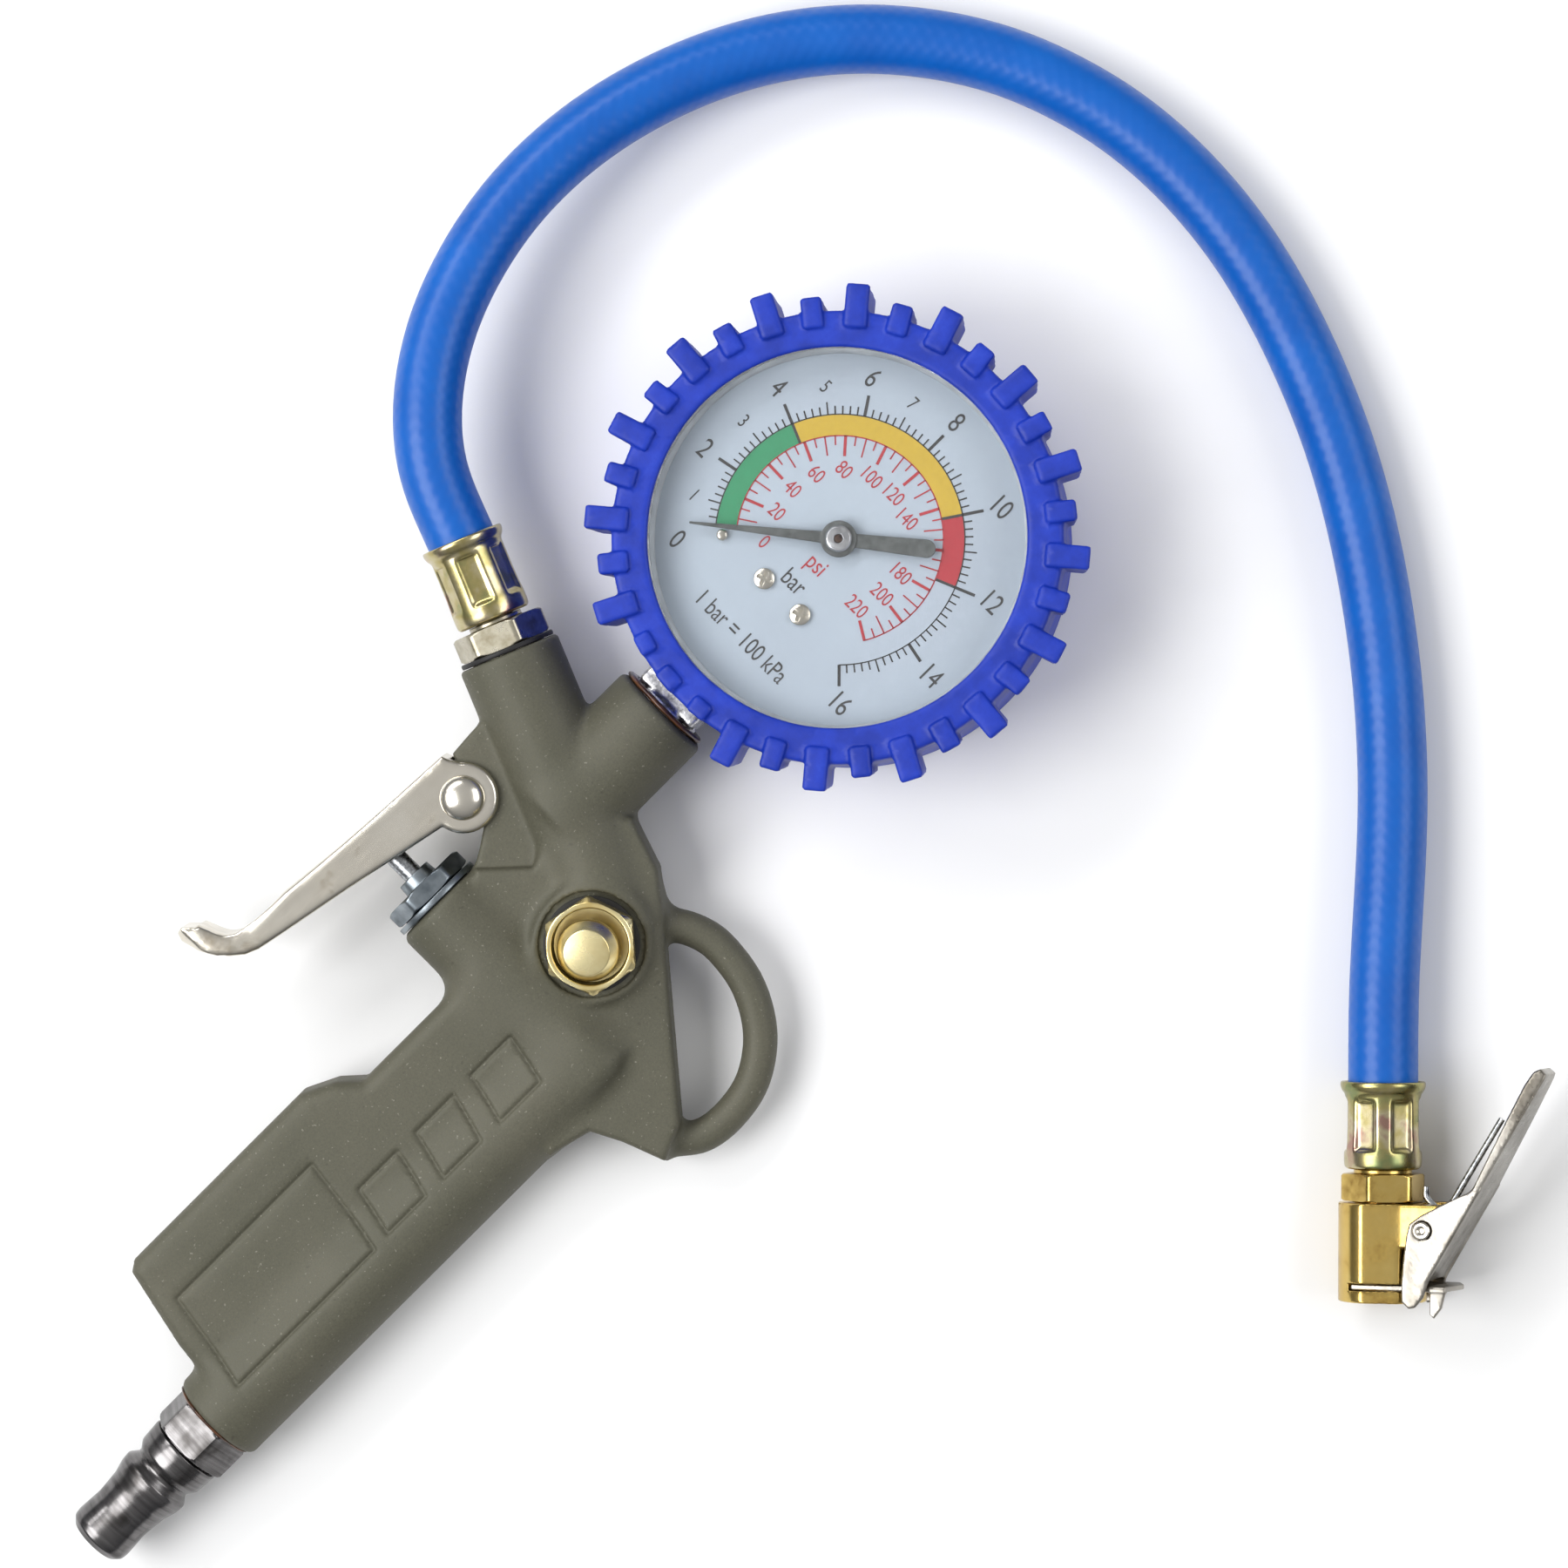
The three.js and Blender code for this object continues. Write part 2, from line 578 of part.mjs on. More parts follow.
function gaugeLink() {
  const angle = Math.atan2(TUBE_TIP[1] - LINK_PIN[1], TUBE_TIP[0] - LINK_PIN[0]);
  const side = [-Math.sin(angle) * 0.7, Math.cos(angle) * 0.7];
  const strip = plate(
    [[LINK_PIN[0] - side[0], LINK_PIN[1] - side[1]], [TUBE_TIP[0] - side[0], TUBE_TIP[1] - side[1]],
      [TUBE_TIP[0] + side[0], TUBE_TIP[1] + side[1]], [LINK_PIN[0] + side[0], LINK_PIN[1] + side[1]]],
    8,
    8.6,
  );
  const eyes = [LINK_PIN, TUBE_TIP].map((at) => rod([...at, 8], [...at, 8.6], 1.7, 16));
  const holes = [LINK_PIN, TUBE_TIP].map((at) => rod([...at, 7], [...at, 9.6], 1, 12));
  return cut(joined(strip, ...eyes), ...holes);
}

function bourdonTube() {
  const radius = 24;
  const outer = arcPoints([0, 0], radius + 0.75, -166.2, 75, 20);
  const inner = arcPoints([0, 0], radius - 0.75, 75, -166.2, 20);
  const tube = plate([...outer, ...inner], -2.6, 2.6);
  const cap = rod([...TUBE_TIP, -3], [...TUBE_TIP, 3.4], 2.1, 12);
  const pin = rod([...TUBE_TIP, 3], [...TUBE_TIP, 8.8], 0.6, 10);
  return joined(tube, cap, pin);
}

function movementPlate(low, high, shaftHoleR) {
  const outline = [[-20, -5.3], [-20, 5.3], [-15, 13.4], [-8.4, 13.4], [3.2, 3.2], [3.2, -3.2], [-8, -5.8]];
  const holes = [[0, 0], SECTOR_PIVOT].map((at) => rod([...at, low - 1], [...at, high + 1], shaftHoleR, 12));
  return cut(plate(outline, low, high), ...holes);
}

function hairspring() {
  const turns = 2.5;
  const steps = 34;
  const outer = [];
  const inner = [];
  for (let i = 0; i <= steps; i += 1) {
    const angle = (i / steps) * turns * 2 * Math.PI;
    const r = 1.3 + (2.7 * i) / steps;
    outer.push([(r + 0.12) * Math.cos(angle), (r + 0.12) * Math.sin(angle)]);
    inner.unshift([(r - 0.12) * Math.cos(angle), (r - 0.12) * Math.sin(angle)]);
  }
  return plate([...outer, ...inner], 8.2, 8.7);
}

function gaugePointer() {
  const angle = THREE.MathUtils.degToRad(POINTER_REST);
  const direction = [Math.sin(angle), -Math.cos(angle)];
  const side = [-direction[1], direction[0]];
  const at = (along, across) => [
    direction[0] * along + side[0] * across,
    direction[1] * along + side[1] * across,
  ];
  const blade = [at(24.7, -0.2), at(24.7, 0.2), at(0, 0.95), at(-12, 1.4), at(-14.9, 1.2)];
  blade.push(at(-15.9, 0), at(-14.9, -1.2), at(-12, -1.4), at(0, -0.95));
  const solid = joined(plate(blade.reverse(), 12.3, 12.8), rod([0, 0, 12.3], [0, 0, 13], 3, 24));
  return cut(solid, rod([0, 0, 12], [0, 0, 14], 1, 12));
}

function dialScrew(y) {
  return turned([[0, 10.2], [0.8, 10.2], [0.8, 11.3], [1.75, 11.3], [1.6, 12], [0, 12]], [-13.2, y, 0], Z, 12);
}

function dialStopPin(at) {
  const profile = [[0, 10.2], [0.6, 10.2], [0.6, 11.3], [0.85, 11.3], [0.8, 12.6], [0, 13]];
  return turned(profile, [...at, 0], Z, 12);
}

function pointerBush() {
  return turned([[0, 13.3], [2.4, 13.3], [2.3, 13.8], [0, 13.9]], [0, 0, 0], Z, 20);
}

function buildGauge(group) {
  const bossEnd = BOSS_END - GAUGE_U;
  const stopAt = onDial(222.8, 19.2);
  const screwYs = [-4.15, 4.15];
  const dialHoles = screwYs.map((y) => rod([-13.2, y, 10], [-13.2, y, 12], 1.1, 8));
  dialHoles.push(rod([0, 0, 10], [0, 0, 12], 1.4, 10));
  dialHoles.push(rod([...stopAt, 10], [...stopAt, 12], 0.9, 8));
  const pillars = [[-17, -3.2], [-11, -3.4]].map((at) => rod([...at, 5], [...at, 8.8], 1.2, 12));

  add(group, "gauge_socket", gaugeSocket(), BRASS);
  add(group, "gauge_seal", ring(6.8, 8.1, bossEnd + GAP, bossEnd + 0.8, [0, STEM_OFFSET, 0], X), BLACK_RUBBER);
  add(group, "gauge_case", gaugeCase(), CASE_STEEL);
  add(group, "gauge_boot", gaugeBoot(), BLUE_RUBBER);
  add(group, "gauge_lens", rod([0, 0, 14.6], [0, 0, 16.1], CASE_R - 1, 36), CLEAR);
  add(group, "gauge_dial", cut(rod([0, 0, 10.5], [0, 0, 11], 30.8, 36), ...dialHoles), DIAL_FACE);
  add(group, "dial_screw_left", dialScrew(screwYs[1]), NICKEL);
  add(group, "dial_screw_right", dialScrew(screwYs[0]), NICKEL);
  add(group, "dial_stop_pin", dialStopPin(stopAt), NICKEL);
  add(group, "gauge_pointer", gaugePointer(), POINTER_BLACK);
  add(group, "pointer_bush", pointerBush(), NICKEL);
  add(group, "pointer_arbor", pointerArbor(), BRASS);
  add(group, "sector_gear", sectorGear(), BRASS);
  add(group, "gauge_link", gaugeLink(), BRASS);
  add(group, "bourdon_tube", bourdonTube(), BRASS);
  add(group, "movement_back_plate", joined(movementPlate(4.3, 5.1, 1.1), ...pillars), BRASS);
  add(group, "movement_front_plate", movementPlate(9.1, 9.9, 1.1), BRASS);
  add(group, "hairspring", hairspring(), SPRING_STEEL);
}

// ---------------------------------------------------------------- chuck
// Its frame: y along the chuck towards the hose, x towards the lever, z up.

function chuckBody() {
  const barrel = turned(
    [[0, -13.7], [6.8, -13.7], [7.3, -13.2], [7.3, 2.2], [6.9, 2.6], [0, 2.6]],
    [0, 0, 0],
    Y,
    20,
  );
  const lugBlock = plate(
    [[0, -4.5], [9.4, -4.5], [10.6, -2.6], [10.6, 2.6], [0, 2.6]],
    -6.1,
    6.1,
  );
  const frontFlat = block([-9, -15, 6.1], [11, 4, 9]);
  const backFlat = block([-9, -15, -9], [11, 4, -6.1]);
  const bore = turned(
    [[0, -15], [4.2, -15], [4.2, -3.4], [1.4, -3.4], [1.4, -1], [4.9, -1], [4.9, 4], [0, 4]],
    [0, 0, 0],
    Y,
  );
  const slot = block([-4.4, -11.7, -7], [11, -10.5, 7]);
  const pinBore = rod([...CHUCK_PIVOT, -8], [...CHUCK_PIVOT, 8], 1.5, 12);
  const springSlot = block([8.4, -5, -2.7], [11, 4, 2.7]);
  const springRelief = block([6.6, -1.8, -2.7], [9, 4, 2.7]);
  return cut(joined(barrel, lugBlock), frontFlat, backFlat, bore, slot, pinBore, springSlot, springRelief);
}

function chuckTail() {
  const hex = hexagon(12.2, [0, 2.9, 0], [0, 7.3, 0], -0.1);
  const thread = rod([0, -0.6, 0], [0, 3.1, 0], 4.6);
  const barb = rod([0, 7.2, 0], [0, 22, 0], 3.2, 16);
  return cut(joined(hex, thread, barb), rod([0, -2, 0], [0, 24, 0], 1.8, 12));
}

function chuckLever() {
  const low = 6.4;
  const high = 7.5;
  const cheek = [[6.1, -0.4], [5.6, -2.4], [5.05, -7.1], [4.8, -10.7], [4.9, -13.2], [6, -14.3],
    [7.1, -14.1], [8.4, -12.5], [9.3, -9.7], [17.9, 5.4], [16.7, 5.3], [14.3, 4.2], [11.7, 2.9],
    [8, 1]];
  const sides = [plate(cheek.slice().reverse(), low, high), plate(cheek.slice().reverse(), -high, -low)];
  const web = [[7.9, -9.4], [8.9, -9.9], [17.9, 5.4], [27.4, 23.2], [26.9, 24.6], [25.6, 24.4],
    [24.4, 22.4], [16.7, 5.9]];
  const back = plate(web, -high, high);
  return cut(joined(back, ...sides), rod([...CHUCK_PIVOT, -9], [...CHUCK_PIVOT, 9], 1.5, 12));
}

function chuckJaw() {
  const outline = [[-3.9, -5.9], [11.8, -5.9], [13.2, 2], [11.8, 5.9], [-3.9, 5.9]];
  const flat = toGeometry(plate(outline, -11.55, -10.65));
  flat.rotateX(-Math.PI / 2);
  const sheet = toSolid(flat);
  const mouth = rod([-2, -12, 0], [-2, -10, 0], 4.5, 16);
  const tab = plate(
    [[9.2, -11.2], [9.2, -15.2], [9.9, -15.9], [11.2, -14.2], [11.8, -11.6], [11.6, -11.2]],
    5,
    5.9,
  );
  return joined(cut(sheet, mouth), tab);
}

function chuckSpring() {
  const points = [[7.7, 5.4, 1.8], [7.8, 3.6, 1.8], [9.7, 1.7, 1.6], [10.6, 1.5, 0.2]];
  points.push([11.6, 3, -1], [14, 7.2, -1.4], [19.6, 16.6, -1.4]);
  return bar(points, 0.55, 6, 18);
}

function buildChuck(group) {
  const ferruleGroup = new THREE.Group();
  ferruleGroup.position.y = CHUCK_FERRULE_START;
  ferruleGroup.rotation.z = Math.PI / 2;
  group.add(ferruleGroup);
  const pin = turned(
    [[0, -8.3], [1.4, -8.3], [1.4, -7.8], [1.2, -7.8], [1.2, 7.8], [1.4, 7.8], [1.4, 8.3], [0, 8.3]],
    [...CHUCK_PIVOT, 0],
    Z,
    16,
  );
  const depressor = turned([[0, -8.6], [1, -8.6], [1, -2.2], [0, -2.2]], [0, 0, 0], Y, 12);
  add(ferruleGroup, "hose_ferrule_chuck", ferrule(), ZINC);
  add(group, "chuck_tail", chuckTail(), BRASS);
  add(group, "chuck_body", chuckBody(), BRASS);
  add(group, "chuck_seal", ring(1.4, 3.9, -6.6, -3.8, [0, 0, 0], Y), BLACK_RUBBER);
  add(group, "chuck_depressor", depressor, BRASS);
  add(group, "chuck_lever", chuckLever(), NICKEL);
  add(group, "chuck_lever_pin", pin, NICKEL);
  add(group, "chuck_spring", chuckSpring(), SPRING_STEEL);
  add(group, "chuck_jaw", chuckJaw(), NICKEL);
}

// ---------------------------------------------------------------- whole tool

const inflator = new THREE.Group();

const rolled = new THREE.Group();
rolled.position.set(-ORIGIN_X, STEM_Y, AXIS_HEIGHT);
rolled.rotation.x = ROLL;
inflator.add(rolled);

const gun = new THREE.Group();
gun.position.y = -STEM_V;
rolled.add(gun);
buildGun(gun);

const gauge = new THREE.Group();
gauge.position.set(GAUGE_U - ORIGIN_X, STEM_Y - STEM_OFFSET, AXIS_HEIGHT);
inflator.add(gauge);
buildGauge(gauge);

add(inflator, "hose", bar(HOSE_ROUTE, HOSE_R, HOSE_SIDES, HOSE_STEPS), HOSE_BLUE);

const chuck = new THREE.Group();
chuck.position.set(...CHUCK_PLACE);
chuck.rotation.z = CHUCK_TURN;
inflator.add(chuck);
const chuckRolled = new THREE.Group();
chuckRolled.rotation.y = CHUCK_ROLL;
chuck.add(chuckRolled);
buildChuck(chuckRolled);

export default inflator;
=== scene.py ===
"""The looks of a hand-held tyre inflator with a dial gauge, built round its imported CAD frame.

Each piece is shaped in millimetres in the frame of the group it belongs to (gun, outlet, gauge or chuck)
and then placed in the row frame, in metres. Round pieces are turned from profiles. Cast and pressed pieces
are signed distances on a grid, which blend and round as castings do, made into a mesh.
"""

import json
import math

import bmesh
import bpy
import numpy as np
import openvdb
from mathutils import Matrix, Vector


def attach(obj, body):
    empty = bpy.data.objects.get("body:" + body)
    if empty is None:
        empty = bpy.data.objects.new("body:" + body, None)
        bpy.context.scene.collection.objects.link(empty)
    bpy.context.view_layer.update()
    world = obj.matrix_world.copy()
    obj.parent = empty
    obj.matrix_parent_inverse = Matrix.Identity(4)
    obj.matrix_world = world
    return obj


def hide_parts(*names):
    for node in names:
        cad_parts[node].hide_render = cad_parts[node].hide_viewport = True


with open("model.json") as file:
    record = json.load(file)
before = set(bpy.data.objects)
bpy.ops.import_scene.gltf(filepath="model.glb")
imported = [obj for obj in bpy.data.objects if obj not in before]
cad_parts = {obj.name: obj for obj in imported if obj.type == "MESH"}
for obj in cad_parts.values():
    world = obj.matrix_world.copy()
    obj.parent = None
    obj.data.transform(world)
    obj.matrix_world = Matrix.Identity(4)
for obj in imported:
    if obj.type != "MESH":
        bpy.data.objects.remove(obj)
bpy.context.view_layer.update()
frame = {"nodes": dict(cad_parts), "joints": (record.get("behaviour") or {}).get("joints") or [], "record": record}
record = frame["record"]
joints = {joint["name"]: joint for joint in frame["joints"]}
mounts = {mount["name"]: mount for mount in record["mounts"]}
body_of = {node: body for body, nodes in record["behaviour"]["bodies"].items() for node in nodes}
slot_of = {part["node"]: part["material_slot"] for part in record["subparts"]}

MM = 0.001

# Gun, in its own frame: u along the grip from the inlet's face, v across it, w out of its side.
TUBE_R = 8.7
GRIP_R = 8.4
GRIP_HALF = 6.6
WEB_HALF = 6.0
EAR_HALF = 4.0
STEM_V = 31.2
VALVE_U = 88.5
VALVE_TOP = 35.0
BOSS_END = 137.5
OUTLET = (126.0, 56.0)
OUTLET_DEGREES = 67.4
PIVOT = (104.0, 44.3)
BLEED = (102.2, 12.1)
HOOK_R = 2.9
BORE_R = 6.9
THREAD_R = 6.5
LEVER_HALF = 5.6
SHEET = 1.2
FITTING_AF = 14.0

# Gauge, in its own frame: x towards the dial's top, z out of the dial.
POINTER_HEIGHT = 12.0
GAUGE_FLOOR = -12.4
CASE_R = 33.3
BOOT_R = 37.0
VIEW_R = 31.0
DIAL_R = 30.8
DIAL_TOP = 11.0
BOOT_FRONT = 17.6
LUG_COUNT = 32
LUG_START = 220.2
LUG_ROOT_R = 34.2
LONG_LUG_R = 41.4
SHORT_LUG_R = 39.3
POINTER_REST = 218.6
STEM_OFFSET = 2.0
SCREW_X = -13.2
SCREW_Y = 4.15
INK = 0.04

# Chuck, in its own frame: y along it towards the hose, x towards the lever, z out of its front.
CHUCK_PIVOT = (8.3, -1.45)
CHUCK_R = 7.3
CHUCK_FLAT = 6.1

FERRULE_LENGTH = 14.4
GUN_FERRULE_START = 6.1
CHUCK_FERRULE_START = 8.1
HOSE_R = 5.75
HOSE_IN_FERRULE = 2.2
HOSE_RINGS = 420
HOSE_SIDES = 36
HOSE_ROUTE = [
    (37.7, 49.15, 17.05), (42.1, 59.75, 18.3), (49.4, 68.45, 18.6), (59.4, 75.45, 18.1),
    (70.2, 79.95, 16.9), (81.5, 82.55, 15.4), (93, 83.15, 13.7), (104.5, 81.85, 11.9),
    (115.6, 78.85, 10.2), (126, 74.45, 8.6), (135.6, 68.45, 7.4), (144.3, 60.85, 6.5),
    (151.6, 52.05, 6), (157.4, 42.45, 5.8), (161.5, 31.85, 5.8), (164.2, 20.25, 5.8),
    (165, 7.45, 5.8), (163.8, -6.05, 5.8), (160.8, -18.75, 5.8), (156.6, -30.85, 5.8),
    (151.5, -42.45, 5.8), (145.2, -53.75, 5.8), (137.8, -64.95, 5.8), (129, -76.45, 5.8),
    (119.4, -87.25, 5.9), (110.5, -95.95, 6.2), (101.4, -104.15, 6.7), (92.3, -112.45, 7.2),
    (82.8, -121.85, 7.4),
]


# ------------------------------------------------------------ frames of the groups


def placed(turn, at_local, at_frame):
    """The matrix from a group's millimetres to the row frame, from its turn and one point known in both."""
    origin = Vector(at_frame) - turn @ (Vector(at_local) * MM)
    return Matrix.Translation(origin) @ turn.to_4x4() @ Matrix.Scale(MM, 4)


def gun_place():
    pivot = joints["trigger_pivot"]
    roll = math.atan2(-pivot["axis"][1], pivot["axis"][2])
    return placed(Matrix.Rotation(roll, 3, "X"), (*PIVOT, 0), pivot["pos_m"])


def gauge_place():
    return placed(Matrix.Identity(3), (0, 0, POINTER_HEIGHT), joints["pointer_pivot"]["pos_m"])


def chuck_place():
    pivot = joints["chuck_lever_pivot"]
    front = Vector(pivot["axis"]).normalized()
    along = -Vector(mounts["chuck_nose"]["axis"])
    along = (along - front * along.dot(front)).normalized()
    turn = Matrix((along.cross(front), along, front)).transposed()
    return placed(turn, (*CHUCK_PIVOT, 0), pivot["pos_m"])


GUN = gun_place()
GAUGE = gauge_place()
CHUCK = chuck_place()
OUTLET_PLACE = GUN @ Matrix.Translation((*OUTLET, 0)) @ Matrix.Rotation(math.radians(OUTLET_DEGREES), 4,
                                                                        "Z")
OUTLET_ALONG = np.array([math.cos(math.radians(OUTLET_DEGREES)), math.sin(math.radians(OUTLET_DEGREES))])
# How much a point of the gun rises for each unit of v and of w.
GUN_RISE = (GUN[2][1] / MM, GUN[2][2] / MM)
GUN_FERRULE = OUTLET_PLACE @ Matrix.Translation((GUN_FERRULE_START, 0, 0))
CHUCK_FERRULE = CHUCK @ Matrix.Translation((0, CHUCK_FERRULE_START, 0)) @ Matrix.Rotation(math.pi / 2, 4,
                                                                                          "Z")


# ------------------------------------------------------------ camera, light and floor

VIEW_DISTANCE = 0.9
VIEW_NADIR = (197, 31, 0)
VIEW_CENTRE = (143, 8.2, 0)
LENS = 124.5
LIGHTS_AIM = (0.05, -0.02, 0.0)


def make_camera():
    """Over the gun's side, looking down on it, with the grip running up to the right."""
    side = (GUN.to_3x3() @ Vector((0, 0, 1))).normalized()
    place = GUN @ Vector(VIEW_NADIR) + side * VIEW_DISTANCE
    aim = GUN @ Vector(VIEW_CENTRE)
    up = GUN.to_3x3() @ Vector((1, 1, 0))
    back = (place - aim).normalized()
    right = up.cross(back).normalized()
    turn = Matrix((right, back.cross(right), back)).transposed()
    data = bpy.data.cameras.new("camera")
    data.lens = LENS
    camera = bpy.data.objects.new("camera", data)
    camera.matrix_world = Matrix.Translation(place) @ turn.to_4x4()
    bpy.context.scene.collection.objects.link(camera)
    bpy.context.scene.camera = camera
    return camera


def make_softbox(name, place, size, watts):
    data = bpy.data.lights.new(name, "AREA")
    data.shape = "RECTANGLE"
    data.size, data.size_y = size
    data.energy = watts
    light = bpy.data.objects.new(name, data)
    light.location = place
    light.rotation_euler = (Vector(LIGHTS_AIM) - Vector(place)).to_track_quat("-Z", "Y").to_euler()
    bpy.context.scene.collection.objects.link(light)


def make_studio():
    scene = bpy.context.scene
    scene.view_settings.view_transform = "Standard"
    world = bpy.data.worlds.new("studio")
    scene.world = world
    world.use_nodes = True
    nodes, links = world.node_tree.nodes, world.node_tree.links
    sky = nodes.new("ShaderNodeTexGradient")
    coordinate = nodes.new("ShaderNodeTexCoord")
    turn = nodes.new("ShaderNodeMapping")
    turn.inputs["Rotation"].default_value = (0, math.radians(90), 0)
    ramp = nodes.new("ShaderNodeValToRGB")
    ramp.color_ramp.elements[0].color = (0.25, 0.26, 0.28, 1)
    ramp.color_ramp.elements[1].color = (1, 1, 1, 1)
    links.new(coordinate.outputs["Generated"], turn.inputs["Vector"])
    links.new(turn.outputs["Vector"], sky.inputs["Vector"])
    links.new(sky.outputs["Fac"], ramp.inputs["Fac"])
    background = nodes["Background"]
    links.new(ramp.outputs["Color"], background.inputs["Color"])
    background.inputs["Strength"].default_value = 0.55
    make_softbox("key_softbox", (-0.55, 0.35, 0.95), (0.7, 0.7), 10)
    make_softbox("fill_softbox", (0.75, -0.55, 0.8), (0.8, 0.5), 4)
    make_softbox("top_softbox", (0.1, 0.75, 0.7), (0.9, 0.25), 4.5)


def make_floor():
    floor_height = -0.0002
    reach = 3.0
    corners = [(-reach, -reach), (reach, -reach), (reach, reach), (-reach, reach)]
    mesh = bpy.data.meshes.new("floor")
    mesh.from_pydata([(x, y, floor_height) for x, y in corners], [], [(0, 1, 2, 3)])
    floor = bpy.data.objects.new("floor", mesh)
    bpy.context.scene.collection.objects.link(floor)
    paint = Paint("pale_floor", roughness=0.9)
    paint.colour(paint.ramp(paint.noise(6, 2), [(0.3, (0.86, 0.86, 0.86)), (0.7, (0.9, 0.9, 0.9))]))
    mesh.materials.append(paint.material)


# ------------------------------------------------------------ materials


def linear(*rgb):
    """An 8-bit screen colour as the linear colour that shaders take."""
    return tuple((c / 255 / 12.92) if c <= 10 else ((c / 255 + 0.055) / 1.055) ** 2.4 for c in rgb)


class Paint:
    """A material with one Principled shader, and short ways to drive it from noise."""

    def __init__(self, name, roughness=0.5, **sockets):
        self.material = bpy.data.materials.new(name)
        self.material.use_nodes = True
        self.tree = self.material.node_tree
        self.shader = self.tree.nodes["Principled BSDF"]
        self.shader.inputs["Roughness"].default_value = roughness
        for socket, value in sockets.items():
            self.shader.inputs[socket.replace("_", " ")].default_value = value
        self.where = self.add("ShaderNodeTexCoord").outputs["Object"]

    def add(self, kind, links=(), **values):
        """A node with values on its sockets or settings, and links into its sockets."""
        node = self.tree.nodes.new(kind)
        for key, value in values.items():
            if key in node.inputs:
                node.inputs[key].default_value = value
            else:
                setattr(node, key, value)
        for key, source in dict(links).items():
            self.tree.links.new(source, node.inputs[key])
        return node

    def noise(self, scale, detail=2.0, roughness=0.5, stretch=(1, 1, 1), turn=(0, 0, 0)):
        where = self.add("ShaderNodeMapping", {"Vector": self.where}, Scale=stretch, Rotation=turn)
        links = {"Vector": where.outputs["Vector"]}
        node = self.add("ShaderNodeTexNoise", links, Scale=scale, Detail=detail, Roughness=roughness)
        return node.outputs["Fac"]

    def ramp(self, source, stops):
        """Colours or values at places from 0 to 1 along source."""
        node = self.add("ShaderNodeValToRGB", {"Fac": source})
        elements = node.color_ramp.elements
        while len(elements) < len(stops):
            elements.new(0.5)
        for element, (place, value) in zip(elements, stops):
            element.position = place
            element.color = (*value, 1) if isinstance(value, tuple) else (value, value, value, 1)
        return node.outputs["Color"]

    def blend(self, factor, first, second, kind="MIX"):
        node = self.add("ShaderNodeMix", data_type="RGBA", blend_type=kind)
        for socket, value in ((0, factor), (6, first), (7, second)):
            if isinstance(value, bpy.types.NodeSocket):
                self.tree.links.new(value, node.inputs[socket])
            elif socket == 0:
                node.inputs[socket].default_value = value
            else:
                node.inputs[socket].default_value = (*value, 1)
        return node.outputs[2]

    def sum(self, first, second, weight):
        links = {0: second, 2: first}
        node = self.add("ShaderNodeMath", operation="MULTIPLY_ADD")
        for socket, source in links.items():
            self.tree.links.new(source, node.inputs[socket])
        node.inputs[1].default_value = weight
        return node.outputs[0]

    def colour(self, source):
        self.tree.links.new(source, self.shader.inputs["Base Color"])
        return self

    def rough(self, source, low, high):
        shade = self.ramp(source, [(0.25, low), (0.75, high)])
        self.tree.links.new(shade, self.shader.inputs["Roughness"])
        return self

    def bump(self, height, depth_mm, strength=1.0):
        links = {"Height": height}
        node = self.add("ShaderNodeBump", links, Distance=depth_mm * MM, Strength=strength)
        self.tree.links.new(node.outputs["Normal"], self.shader.inputs["Normal"])
        return self


def noise_paint(name, noise, stops, rough, bump=None, **sockets):
    """A material whose colour and roughness follow one noise, given as (scale, detail, roughness).

    stops are (place, r, g, b), and bump is (noise or None for the same one, depth in mm, strength).
    """
    paint = Paint(name, **sockets)
    cloud = paint.noise(*noise)
    paint.colour(paint.ramp(cloud, [(place, linear(*rgb)) for place, *rgb in stops]))
    paint.rough(cloud, *rough)
    if bump:
        skin, depth_mm, strength = bump
        paint.bump(paint.noise(*skin) if skin else cloud, depth_mm, strength)
    return paint.material


def cast_paint():
    """Olive-grey cast alloy: matt, grainy, with small bright specks."""
    paint = Paint("cast_olive_grey", Metallic=0.15)
    cloud = paint.noise(60, 3)
    grain = paint.noise(2600, 3, roughness=0.7)
    speck = paint.noise(1900, 1)
    base = paint.ramp(cloud, [(0.3, linear(81, 80, 66)), (0.7, linear(89, 87, 73))])
    grained = paint.blend(0.55, base, paint.ramp(grain, [(0.3, (0.7,) * 3), (0.7, (1.3,) * 3)]), "MULTIPLY")
    speckled = paint.blend(paint.ramp(speck, [(0.7, 0.0), (0.78, 0.3)]), grained, linear(176, 172, 158))
    pitted = paint.blend(paint.ramp(paint.noise(700, 1), [(0.2, 0.4), (0.25, 0.0)]), speckled,
                         linear(60, 58, 48))
    paint.colour(pitted)
    paint.rough(grain, 0.5, 0.72)
    return paint.bump(paint.sum(grain, paint.noise(900, 2), 0.8), 0.05, 0.6).material


def plated_steel():
    """Nickel plate on pressed steel: soft shine, light scratches and a few tea-coloured stains."""
    paint = Paint("nickel_plate", Metallic=1.0)
    stain = paint.noise(70, 4, roughness=0.65)
    scratch = paint.noise(900, 2, stretch=(0.12, 1, 1), turn=(0, 0, 0.35))
    stops = [(0.28, linear(156, 143, 120)), (0.42, linear(212, 206, 193)), (1, linear(232, 228, 218))]
    paint.colour(paint.ramp(stain, stops))
    paint.rough(paint.sum(stain, scratch, 0.5), 0.34, 0.22)
    return paint.bump(paint.sum(scratch, paint.noise(500, 2), 0.5), 0.012, 0.5).material


